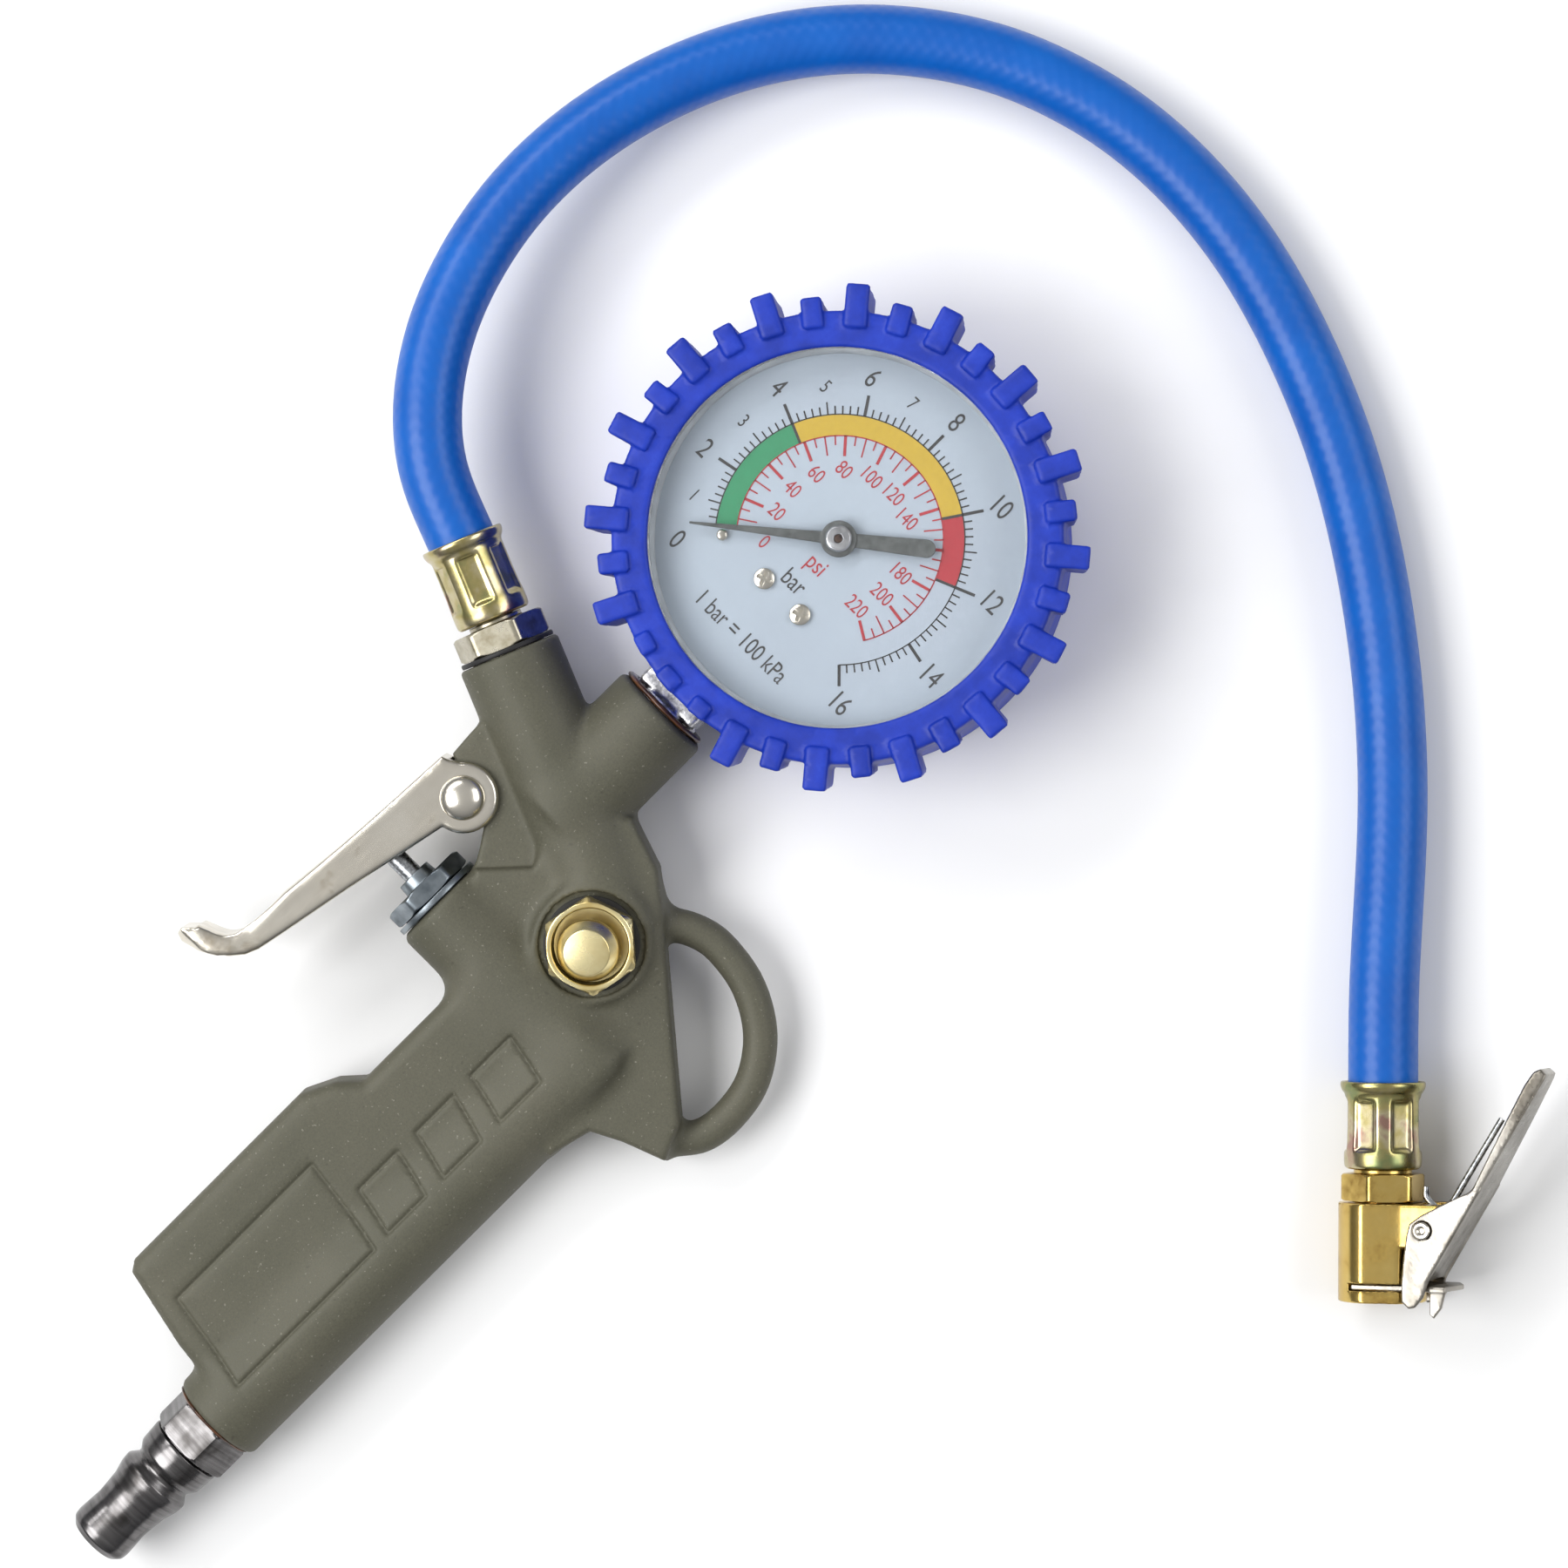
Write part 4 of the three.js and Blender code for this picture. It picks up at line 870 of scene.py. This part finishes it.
def make_ferrule(name, place, node, turn=0):
    """A crimped sleeve: six flats pressed in round its middle and a mouth that flares round the hose."""
    profile = [[3.6, 0], [5.9, 0], [6.3, 0.4], [6.4, 1.2], [6.4, 2.8], [6.3, 4], [6.25, 5.2], [6.2, 7],
               [6.2, 9],
               [6.2, 10.6], [6.2, 11.9], [6.35, 12.4], [6.75, 12.9], [7, 13.6], [7.02, 14.1], [6.85, 14.4],
               [6.45, 14.3], [6.1, 13.4], [5.95, 12], [5.95, 11], [3.6, 11]]
    flats = [math.radians(degrees + turn) for degrees in range(30, 360, 60)]

    def crimped(angle, distance, radius):
        if radius < 6.15 and distance > 10.9:
            return radius
        nearest = min(abs(math.remainder(angle - flat, 2 * math.pi)) for flat in flats)
        across = 1 / (1 + math.exp((nearest - 0.3) / 0.02))
        along = 1 / (1 + math.exp((3.2 - distance) / 0.16)) / (1 + math.exp((distance - 11.3) / 0.16))
        chord = 5.55 / max(math.cos(nearest), 0.9)
        pressed = across * along
        return radius * (1 - pressed) + min(radius, chord) * pressed

    fine = np.array(softened(profile, 0.4, closed=True), float)
    dense = []
    for a, b in zip(fine, np.roll(fine, -1, axis=0)):
        count = max(1, int(np.linalg.norm(b - a) / 0.25))
        dense += [a + (b - a) * k / count for k in range(count)]
    obj = turned(name, dense, place, ZINC, "X", 180, soft=0, closed=True, shape=crimped)
    return stand_for(obj, node)


def make_outlet():
    fitting = [[2, -10], [6.4, -10], [6.4, 1], [7.4, 1], [8.05, 1.4], [8.05, 4.8], [7.4, 5.2], [4.6, 5.3],
               [4.6, 6.05],
               [3.2, 6.05], [3.2, 20], [2, 20]]
    shape = hexagonal(FITTING_AF, 0.44)
    obj = turned("hose_fitting_hex", fitting, OUTLET_PLACE, FITTING, "X", 96, soft=0.2, closed=True,
                 shape=shape)
    stand_for(obj, "hose_fitting")
    seal = [[6.8, 0.1], [8.1, 0.1], [8.2, 0.5], [8.1, 0.95], [6.8, 0.95]]
    stand_for(turned("hose_seal_ring", seal, OUTLET_PLACE, RUBBER, "X", 96, soft=0.2, closed=True),
              "hose_fitting_seal")
    return make_ferrule("hose_ferrule_gun_crimped", GUN_FERRULE, "hose_ferrule_gun")


# ------------------------------------------------------------ hose


def make_hose():
    """The hose as one tube on a smooth route, with its own u along it and v round it."""
    start = OUTLET_PLACE @ Vector((GUN_FERRULE_START + FERRULE_LENGTH - HOSE_IN_FERRULE, 0, 0)) / MM
    end = CHUCK_FERRULE @ Vector((FERRULE_LENGTH - HOSE_IN_FERRULE, 0, 0)) / MM
    line = smooth_line([start, *HOSE_ROUTE, end], HOSE_RINGS)
    # Smooth the route over a few rings each way, with its ends held.
    spread = 9
    window = np.hanning(2 * spread + 3)[1:-1]
    window /= window.sum()
    padded = np.vstack([2 * line[0] - line[spread:0:-1], line, 2 * line[-1] - line[-2 : -spread - 2 : -1]])
    line = np.stack([np.convolve(padded[:, k], window, "valid") for k in range(3)], axis=1)
    line[0], line[-1] = start, end
    sides = HOSE_SIDES
    steps = np.linalg.norm(np.diff(line, axis=0), axis=1)
    travelled = np.concatenate([[0], np.cumsum(steps)])
    ahead = np.gradient(line, axis=0)
    ahead /= np.linalg.norm(ahead, axis=1)[:, None]
    across = np.cross(ahead, (0, 0, 1))
    across /= np.linalg.norm(across, axis=1)[:, None]
    above = np.cross(across, ahead)
    turns = np.linspace(0, 2 * math.pi, sides, endpoint=False)
    circle = np.cos(turns)[None, :, None] * across[:, None] + np.sin(turns)[None, :, None] * above[:, None]
    rings = line[:, None] + HOSE_R * circle
    vertices = [*rings.reshape(-1, 3).tolist(), line[0].tolist(), line[-1].tolist()]
    faces = []
    for i in range(len(line) - 1):
        for j in range(sides):
            k = (j + 1) % sides
            faces.append((i * sides + j, i * sides + k, (i + 1) * sides + k, (i + 1) * sides + j))
    last = (len(line) - 1) * sides
    for j in range(sides):
        k = (j + 1) % sides
        faces.append((len(vertices) - 2, k, j))
        faces.append((last + j, last + k, len(vertices) - 1))
    hose = piece("blue_hose", vertices, faces, Matrix.Scale(MM, 4), HOSE)
    skin = hose.data.uv_layers.new(name="skin")
    for polygon in hose.data.polygons:
        seam = [hose.data.loops[i].vertex_index % sides for i in polygon.loop_indices]
        crosses = max(seam) - min(seam) > sides / 2
        for loop_index, side in zip(polygon.loop_indices, seam):
            ring = min(hose.data.loops[loop_index].vertex_index // sides, len(line) - 1)
            turn = side + (sides if crosses and side < sides / 2 else 0)
            skin.data[loop_index].uv = (travelled[ring], turn / sides * 2 * math.pi * HOSE_R)
    stand_for(hose, "hose")
    return hose


# ------------------------------------------------------------ gauge


def on_dial(degrees, radius):
    """A place on the dial by its angle, counter-clockwise from the dial's right."""
    angle = math.radians(degrees)
    return radius * math.sin(angle), -radius * math.cos(angle)


def make_boot():
    """The rubber boot: a ring over the case's rim and side, with long and short lugs in turn."""
    g = Grid((-43, -43, GAUGE_FLOOR - 1), (43, 43, 19.6), 0.42)
    radius = np.hypot(g.x, g.y)
    ring = both(radius - BOOT_R, slab(g.z, GAUGE_FLOOR, BOOT_FRONT), 0.8)
    hollow = both(radius - CASE_R - 0.15, slab(g.z, -10.6, 16.5), 0.3)
    mouth = both(radius - VIEW_R, slab(g.z, 10, 30), 0.0)
    back = both(radius - 22, slab(g.z, -30, -5), 0.0)
    shell = without(without(without(ring, hollow), mouth, 0.5), back, 0.4)
    step = 360 / LUG_COUNT
    dial_angle = np.degrees(np.arctan2(g.x, -g.y))
    index = np.round((LUG_START - dial_angle) / step)
    offset = np.radians(LUG_START - index * step - dial_angle)
    along, across = radius * np.cos(offset), radius * np.sin(offset)
    index = np.mod(index, LUG_COUNT)
    is_long = np.mod(index, 2) == 0
    reach = np.where(is_long, LONG_LUG_R, SHORT_LUG_R)
    # The three lugs over the stem are cut short.
    reach = np.where((index >= 27) & (index <= 29), BOOT_R + 0.1, reach)
    half = np.where(is_long, 1.95, 1.75)
    low_end = reach - 1.0 + (g.z - 5) / 12.6
    plan = both(both(LUG_ROOT_R - along, along - np.minimum(low_end, reach), 0.3), np.abs(across) - half,
                0.45)
    lugs = both(plan, slab(g.z, 5, BOOT_FRONT + 0.8), 0.45)
    inner = both(LUG_ROOT_R - along, 4 - g.z, 0.0)
    lugs = np.maximum(lugs, inner)
    values = melted(shell, lugs, 0.35)
    stem = tube(g, (-45, STEM_OFFSET, 0), (-30, STEM_OFFSET, 0), 8.9, 0.0)
    values = without(values, stem, 0.4)
    return stand_for(cast("gauge_boot_moulded", g, values, GAUGE, BOOT, flatness=0.01), "gauge_boot")


def make_case():
    profile = [[0, -10.4], [32.6, -10.4], [CASE_R, -9.8], [CASE_R, 16.2], [32.9, 16.2], [32.6, 15.9],
               [32.6, 14.4],
               [31.35, 14.4], [31.2, 14.2], [31.2, 13.5], [31.4, 13.3], [32.5, 13.2], [32.5, -9.4],
               [0, -9.4]]
    stand_for(turned("gauge_case_drawn", profile, GAUGE, CASE, "Z", 160, soft=0.15), "gauge_case")
    rim = [[31.05, 13.6], [31.15, 13.6], [31.2, 14.2], [31.9, 14.4], [31.9, 14.5], [31.05, 14.35]]
    go_with(turned("gauge_rim_ring", rim, GAUGE, SILVER_RIM, "Z", 160, soft=0.03, closed=True),
            "gauge_case")
    wall = [[30.3, 11.05], [31.1, 11.05], [31.1, 13.9], [30.9, 13.9], [30.4, 12.6]]
    go_with(turned("gauge_bezel_liner", wall, GAUGE, LINER, "Z", 160, soft=0.03, closed=True), "gauge_case")


def make_lens():
    profile = [[0, 14.6], [32.0, 14.6], [32.3, 14.8], [32.3, 15.9], [32.0, 16.1], [0, 16.1]]
    stand_for(turned("gauge_lens_glass", profile, GAUGE, GLASS, "Z", 160, soft=0.05), "gauge_lens")


def make_dial():
    profile = [[1.4, 10.5], [30.7, 10.5], [DIAL_R, 10.6], [DIAL_R, 10.9], [30.7, DIAL_TOP], [1.4, DIAL_TOP]]
    stand_for(turned("gauge_dial_disc", profile, GAUGE, DIAL, "Z", 160, soft=0.03, closed=True),
              "gauge_dial")


def flat_ink(name, outlines, material, lift=0.0):
    """Thin printed shapes on the dial, each a closed outline of points."""
    vertices, faces = [], []
    low, high = DIAL_TOP + 0.005 + lift, DIAL_TOP + INK + lift
    for points in outlines:
        first, count = len(vertices), len(points)
        vertices += [(x, y, low) for x, y in points] + [(x, y, high) for x, y in points]
        faces.append(tuple(first + count + i for i in range(count)))
        faces.append(tuple(first + i for i in reversed(range(count))))
        for i in range(count):
            j = (i + 1) % count
            faces.append((first + i, first + j, first + count + j, first + count + i))
    return go_with(piece(name, vertices, faces, GAUGE, material), "gauge_dial")


def tick(degrees, inner, outer, width):
    """A radial mark at an angle on the dial, as an outline."""
    angle = math.radians(degrees)
    out, side = np.array([math.sin(angle), -math.cos(angle)]), np.array([math.cos(angle), math.sin(angle)])
    corners = [(inner, -1), (outer, -1), (outer, 1), (inner, 1)]
    return [tuple(out * radius + side * sign * width / 2) for radius, sign in corners]


def band(start, end, inner, outer):
    """A stretch of ring between two angles on the dial, as short outlines side by side."""
    count = max(2, int(abs(end - start) / 3))
    angles = np.linspace(start, end, count + 1)
    cells = []
    for a, b in zip(angles, angles[1:]):
        cells.append([on_dial(a, inner), on_dial(a, outer), on_dial(b, outer), on_dial(b, inner)])
    return cells


SCALE_START = 219.3
SCALE_ZERO = 225
DEGREES_PER_BAR = 16.875
DEGREES_PER_PSI = 1.1635
CAPITAL_HEIGHT = 0.72
LETTER_WIDTH = 0.74


def bar_angle(bar):
    return SCALE_ZERO - DEGREES_PER_BAR * bar


def psi_angle(psi):
    return SCALE_ZERO - DEGREES_PER_PSI * psi


def scale_marks():
    """Marks of the outer scale, in bar, and of the inner scale, in psi."""
    black = band(SCALE_START, bar_angle(16), 20.33, 20.53)
    for i in range(0, 81):
        bar = i / 5
        if bar < 0.5:
            continue
        if bar % 2 == 0:
            black.append(tick(bar_angle(bar), 20.4, 23.9, 0.5))
        else:
            black.append(tick(bar_angle(bar), 20.4, 22.5 if i % 5 == 0 else 21.8, 0.25))
    for bar in (4, 10, 12):
        black.append(tick(bar_angle(bar), 17.0, 20.4, 0.45))
    red = band(SCALE_START, psi_angle(220), 16.83, 17.04)
    for psi in range(5, 225, 5):
        if psi % 20 == 0:
            red.append(tick(psi_angle(psi), 13.6, 17.0, 0.48))
        else:
            red.append(tick(psi_angle(psi), 13.8 if psi % 10 == 0 else 15.4, 17.0, 0.24))
    return black, red


def lettering(name, words, material):
    """Printed words, each (text, x, y, height), upright towards the dial's top, as one piece."""
    merged = bmesh.new()
    for text, x, y, height in words:
        curve = bpy.data.curves.new("word", "FONT")
        curve.body = text
        curve.align_x, curve.align_y = "CENTER", "CENTER"
        curve.size = height / CAPITAL_HEIGHT
        curve.extrude = INK / 2
        curve.resolution_u = 4
        source = bpy.data.objects.new("word", curve)
        bpy.context.scene.collection.objects.link(source)
        bpy.context.view_layer.update()
        mesh = bpy.data.meshes.new_from_object(source)
        narrow = Matrix.Diagonal((LETTER_WIDTH, 1, 1, 1))
        upright = Matrix.Translation((x, y, DIAL_TOP + INK)) @ Matrix.Rotation(-math.pi / 2, 4, "Z")
        mesh.transform(upright @ narrow)
        merged.from_mesh(mesh)
        bpy.data.objects.remove(source)
        bpy.data.curves.remove(curve)
        bpy.data.meshes.remove(mesh)
    bmesh.ops.remove_doubles(merged, verts=merged.verts, dist=0.0005)
    mesh = bpy.data.meshes.new(name)
    merged.to_mesh(mesh)
    merged.free()
    mesh.transform(GAUGE)
    mesh.materials.append(material)
    obj = bpy.data.objects.new(name, mesh)
    bpy.context.scene.collection.objects.link(obj)
    return go_with(obj, "gauge_dial")


def make_dial_print():
    black, red = scale_marks()
    flat_ink("dial_black_marks", black, BLACK_INK, 0.03)
    flat_ink("dial_red_marks", red, RED_INK, 0.03)
    for name, start, end, ink in (("green", 0, 4, GREEN_INK), ("yellow", 4, 10, YELLOW_INK),
                                  ("red", 10, 12, RED_INK)):
        flat_ink("dial_band_" + name, band(min(bar_angle(start), SCALE_START), bar_angle(end), 17.0, 20.4),
                 ink)
    large = [(str(bar), *on_dial(bar_angle(bar), 26.7), 3.5) for bar in range(0, 17, 2)]
    small = [(str(bar), *on_dial(bar_angle(bar), 25.0), 2.4) for bar in (1, 3, 5, 7)]
    words = [("bar", -10.2, 0.4, 3.1), ("1 bar = 100 kPa", -22.6, 0.2, 3.0)]
    lettering("dial_black_words", large + small + words, BLACK_INK)
    inner = [(str(psi), *on_dial(psi_angle(psi), 11.3), 2.5) for psi in range(20, 221, 20) if psi != 160]
    inner.append(("0", *on_dial(psi_angle(0) + 2, 12.4), 2.5))
    lettering("dial_red_words", [*inner, ("psi", -5.6, -0.3, 3.0)], RED_INK)


def make_screw(side):
    """A pan-head screw with a cross recess."""
    g = Grid((-2.1, -2.1, 9.9), (2.1, 2.1, 12.7), 0.06)
    radius = np.hypot(g.x, g.y)
    dome = np.sqrt(g.x**2 + g.y**2 + (g.z - 7.9) ** 2) - 4.15
    head = both(both(radius - 1.75, slab(g.z, 11.06, 14), 0.1), dome, 0.1)
    shank = both(radius - 0.8, slab(g.z, 10.2, 11.4), 0.05)
    values = melted(head, shank, 0.05)
    c, s = math.cos(0.3), math.sin(0.3)
    p, q = g.x * c + g.y * s, g.y * c - g.x * s
    slots = np.minimum(both(np.abs(p) - 1.15, np.abs(q) - 0.27, 0.1),
                       both(np.abs(q) - 1.15, np.abs(p) - 0.27, 0.1))
    values = without(values, both(slots, 11.4 - g.z, 0.05), 0.05)
    at = GAUGE @ Matrix.Translation((SCREW_X, side * SCREW_Y, 0))
    name = "left" if side > 0 else "right"
    return stand_for(cast("dial_screw_" + name + "_cross", g, values, at, NICKEL), "dial_screw_" + name)


def make_pointer():
    """A tapered blade with a paddle tail, a pressed hub and a bright bush over it."""
    g = Grid((-27, -4, 11.9), (18, 4, 13.5), 0.1)
    tip, tail = 24.7, 15.9
    half = np.interp(g.x, [-tip, 0, tail - 1.5, tail], [0.18, 1.05, 1.5, 1.5]).astype(np.float32)
    blade = both(np.abs(g.y) - half, slab(g.x, -tip, tail - 1.5), 0.1)
    paddle = np.hypot(g.x - tail + 1.5, g.y) - 1.5
    flat = both(np.minimum(blade, paddle), slab(g.z, 12.3, 12.75), 0.1)
    hub = both(np.hypot(g.x, g.y) - 3.0, slab(g.z, 12.3, 13.05), 0.18)
    values = melted(flat, hub, 0.15)
    values = without(values, np.hypot(g.x, g.y) - 1.0)
    rest = math.radians(POINTER_REST)
    towards = math.atan2(-math.cos(rest), math.sin(rest))
    at = GAUGE @ Matrix.Rotation(towards + math.pi, 4, "Z")
    stand_for(cast("gauge_pointer_blade", g, values, at, POINTER, flatness=0.01), "gauge_pointer")
    bush = [[0, 13.1], [2.1, 13.1], [2.2, 13.2], [2.2, 13.6], [1.9, 13.85], [0.85, 13.95], [0.72, 13.8],
            [0.66, 13.4],
            [0, 13.35]]
    stand_for(turned("pointer_bush_turned", bush, GAUGE, SILVER_RIM, "Z", 64, soft=0.06), "pointer_bush")
    # A dark brown disc laid on the floor of the bush's centre hole: painted shade of the hole.
    end = [[0, 13.37], [0.6, 13.37], [0.6, 13.55], [0, 13.6]]
    go_with(turned("pointer_hole_painted_shade", end, GAUGE, SEALANT, "Z", 32, soft=0.03), "pointer_bush")
    pin = [[0, 10.2], [0.6, 10.2], [0.6, 11.05], [0.95, 11.1], [0.95, 11.9], [0.75, 12.15], [0.45, 12.25],
           [0, 12.3]]
    at = GAUGE @ Matrix.Translation((*on_dial(222.8, 19.2), 0))
    stand_for(turned("stop_pin_domed", pin, at, NICKEL, "Z", 32, soft=0.1), "dial_stop_pin")


def make_socket():
    g = Grid((-52.5, -7, -7), (-9, 9.4, 7), 0.3)
    shank = block(g, (-39.9, STEM_OFFSET - 6.1, -5.7), (-31, STEM_OFFSET + 6.1, 5.7), 0.9)
    inside = block(g, (-31.3, -5.4, -5.4), (-10, 5.4, 4), 0.3)
    thread = tube(g, (-51.5, STEM_OFFSET, 0), (-39.5, STEM_OFFSET, 0), THREAD_R, 0.4)
    values = np.minimum(melted(shank, inside, 0.3), thread)
    values = without(values, tube(g, (-54, STEM_OFFSET, 0), (-20, STEM_OFFSET, 0), 1.6))
    stand_for(cast("gauge_socket_square", g, values, GAUGE, SILVER, flatness=0.02), "gauge_socket")
    ring = [[6.6, -40.95], [8.0, -40.9], [8.3, -40.5], [8.0, -40.1], [6.6, -40.0]]
    stem = GAUGE @ Matrix.Translation((0, STEM_OFFSET, 0))
    lumpy = lambda a, d, r: r + 0.12 * math.sin(4 * a + 0.5) + 0.08 * math.sin(9 * a)
    stand_for(turned("gauge_seal_ring", ring, stem, SEALANT, "X", 96, soft=0.2, closed=True, shape=lumpy),
              "gauge_seal")


# ------------------------------------------------------------ chuck


def make_chuck_body():
    """Turned brass with flats front and back, a lug for the lever's pin and a slot for the jaw."""
    g = Grid((-8.2, -14.6, -7.2), (11.4, 3.5, 7.2), 0.17)
    radius = np.hypot(g.x, g.z)
    barrel = both(radius - CHUCK_R, slab(g.y, -13.7, 2.6), 0.35)
    barrel = both(barrel, 0.146 * g.x + 0.989 * g.z - 6.63, 0.12)
    barrel = both(barrel, -g.z - CHUCK_FLAT, 0.12)
    lug = prism(g, [(0, -4.5), (9.4, -4.5), (10.6, -2.6), (10.6, 2.6), (0, 2.6)], -CHUCK_FLAT, CHUCK_FLAT,
                0.3)
    values = melted(barrel, lug, 0.2)
    bore = [(0, -15), (4.2, -15), (4.2, -3.4), (1.4, -3.4), (1.4, -1), (4.9, -1), (4.9, 4), (0, 4)]
    values = without(values, outline(radius, g.y, bore), 0.15)
    values = without(values, block(g, (-4.4, -11.7, -8), (11, -10.5, 8)), 0.1)
    values = without(values, tube(g, (*CHUCK_PIVOT, -8), (*CHUCK_PIVOT, 8), 1.5))
    values = without(values, block(g, (8.4, -5, -2.7), (11, 4, 2.7)), 0.15)
    values = without(values, block(g, (6.6, -1.8, -2.7), (9, 4, 2.7)), 0.15)
    return stand_for(cast("chuck_body_turned", g, values, CHUCK, BRASS, flatness=0.01), "chuck_body")


def make_chuck_lever():
    """A pressed channel whose back runs on as the thumb plate."""
    g = Grid((3.6, -15.4, -8.2), (29.4, 26.4, 8.2), 0.2)
    low, high = 6.4, 7.5
    cheek = [(6.1, -0.4), (5.6, -2.4), (5.05, -7.1), (4.8, -10.7), (4.9, -13.2), (6, -14.3), (7.1, -14.1),
             (8.4, -12.5), (9.3, -9.7), (17.9, 5.4), (16.7, 5.3), (14.3, 4.2), (11.7, 2.9), (8, 1)]
    side = outline(g.x, g.y, cheek)
    cheeks = both(side, np.abs(np.abs(g.z) - (low + high) / 2) - (high - low) / 2, 0.3)
    web = [(7.9, -9.4), (8.9, -9.9), (17.9, 5.4), (27.6, 23.2), (28, 24.2), (27, 25.1), (25.8, 24.6),
           (24.4, 22.4),
           (16.7, 5.9)]
    taper = np.interp(g.y, [5, 17, 24.5], [high, 5.8, 4.0]).astype(np.float32)
    back = both(outline(g.x, g.y, web), np.abs(g.z) - taper, 0.35)
    values = melted(cheeks, back, 0.5)
    values = without(values, tube(g, (*CHUCK_PIVOT, -9), (*CHUCK_PIVOT, 9), 1.5))
    return stand_for(cast("chuck_lever_pressed", g, values, CHUCK, HAMMERED, flatness=0.02), "chuck_lever")


def make_chuck_jaw():
    g = Grid((-4.6, -16.8, -6.6), (14, -10, 6.6), 0.14)
    plan = outline(g.x, g.z, [(-3.9, -5.9), (11.8, -5.9), (13.2, -2), (11.8, 5.9), (-3.9, 5.9)])
    sheet = both(plan, slab(g.y, -11.55, -10.65), 0.2)
    values = without(sheet, both(np.hypot(g.x + 2, g.z) - 4.5, slab(g.y, -13, -9)), 0.1)
    tab = prism(g, [(9.2, -11), (9.2, -15.2), (9.9, -15.9), (11.2, -14.2), (11.8, -11.6), (11.6, -11)], 4.9,
                5.9, 0.25)
    values = melted(values, tab, 0.5)
    return stand_for(cast("chuck_jaw_plate", g, values, CHUCK, HAMMERED, flatness=0.01), "chuck_jaw")


def make_chuck_spring():
    """The return spring's visible wire, from the lug to the thumb plate."""
    route = [(7.7, 5.4, 1.8), (7.8, 3.6, 1.8), (9.7, 1.7, 1.6), (10.6, 1.5, 0.2), (11.6, 3, -1),
             (14, 7.2, -1.4),
             (19.6, 16.6, -1.4)]
    curve = bpy.data.curves.new("chuck_spring_wire", "CURVE")
    curve.dimensions = "3D"
    spline = curve.splines.new("POLY")
    line = smooth_line(route, 60)
    spline.points.add(len(line) - 1)
    for point, place in zip(spline.points, line):
        point.co = (*place, 1)
    curve.bevel_depth = 0.55
    curve.bevel_resolution = 5
    curve.use_fill_caps = True
    source = bpy.data.objects.new("wire", curve)
    bpy.context.scene.collection.objects.link(source)
    bpy.context.view_layer.update()
    mesh = bpy.data.meshes.new_from_object(source)
    bpy.data.objects.remove(source)
    vertices = [tuple(v.co) for v in mesh.vertices]
    faces = [tuple(p.vertices) for p in mesh.polygons]
    return stand_for(piece("chuck_spring_wire", vertices, faces, CHUCK, WIRE), "chuck_spring")


def make_chuck():
    """The chuck's pieces, as a list."""
    ferrule = make_ferrule("hose_ferrule_chuck_crimped", CHUCK_FERRULE, "hose_ferrule_chuck", -16)
    tail = [[1.8, -0.6], [4.6, -0.6], [4.6, 2.9], [6.6, 2.9], [7.05, 3.2], [7.05, 6.9], [6.6, 7.3],
            [4.8, 7.4],
            [4.8, 8.05], [3.2, 8.05], [3.2, 22], [1.8, 22]]
    shape = hexagonal(12.2, 0.42)
    hexagon = turned("chuck_tail_hex", tail, CHUCK, BRASS, "Y", 96, soft=0.15, closed=True, shape=shape)
    pin = [[0, -8.3], [1.2, -8.3], [1.45, -8.1], [1.45, -7.8], [1.2, -7.8], [1.2, 7.8], [1.45, 7.8],
           [1.45, 8.15],
           [1.2, 8.35], [0.75, 8.3], [0.45, 8.0], [0, 7.95]]
    at = CHUCK @ Matrix.Translation((*CHUCK_PIVOT, 0))
    rivet = turned("chuck_pin_peened", pin, at, NICKEL, "Z", 48, soft=0.06)
    seal = [[1.4, -6.6], [3.9, -6.6], [3.9, -3.8], [1.4, -3.8]]
    rubber = turned("chuck_seal_ring", seal, CHUCK, RUBBER, "Y", 64, soft=0.4, closed=True)
    return [
        ferrule,
        stand_for(hexagon, "chuck_tail"),
        make_chuck_body(),
        stand_for(rubber, "chuck_seal"),
        frame["nodes"]["chuck_depressor"],
        make_chuck_lever(),
        stand_for(rivet, "chuck_lever_pin"),
        make_chuck_spring(),
        make_chuck_jaw(),
    ]


# ------------------------------------------------------------ the whole


def paint_frame():
    """Every CAD node that stays in view or inside takes a finished material by its slot."""
    by_slot = {
        "cast_body": CAST, "plug_steel": PLUG, "nickel_steel": NICKEL, "dark_steel": ZINC_GREY,
        "nickel_brass": FITTING, "zinc_ferrule": ZINC, "brass": BRASS, "black_rubber": RUBBER,
        "blue_rubber": BOOT,
        "hose_blue": HOSE, "case_steel": CASE, "dial_face": DIAL, "pointer_grey": POINTER, "lens": GLASS,
        "spring_steel": WIRE,
    }
    for name, node in frame["nodes"].items():
        node.data.materials.clear()
        node.data.materials.append(by_slot[slot_of[name]])


make_camera()
paint_frame()
gun_ferrule = make_outlet()
chuck_pieces = make_chuck()
make_hose()
make_studio()
make_floor()
make_gun_body()
make_inlet_plug()
make_trigger()
make_rivet()
make_valve_parts()
make_bleed_valve()
make_socket()
make_case()
make_boot()
make_lens()
make_dial()
make_dial_print()
make_screw(1)
make_screw(-1)
make_pointer()
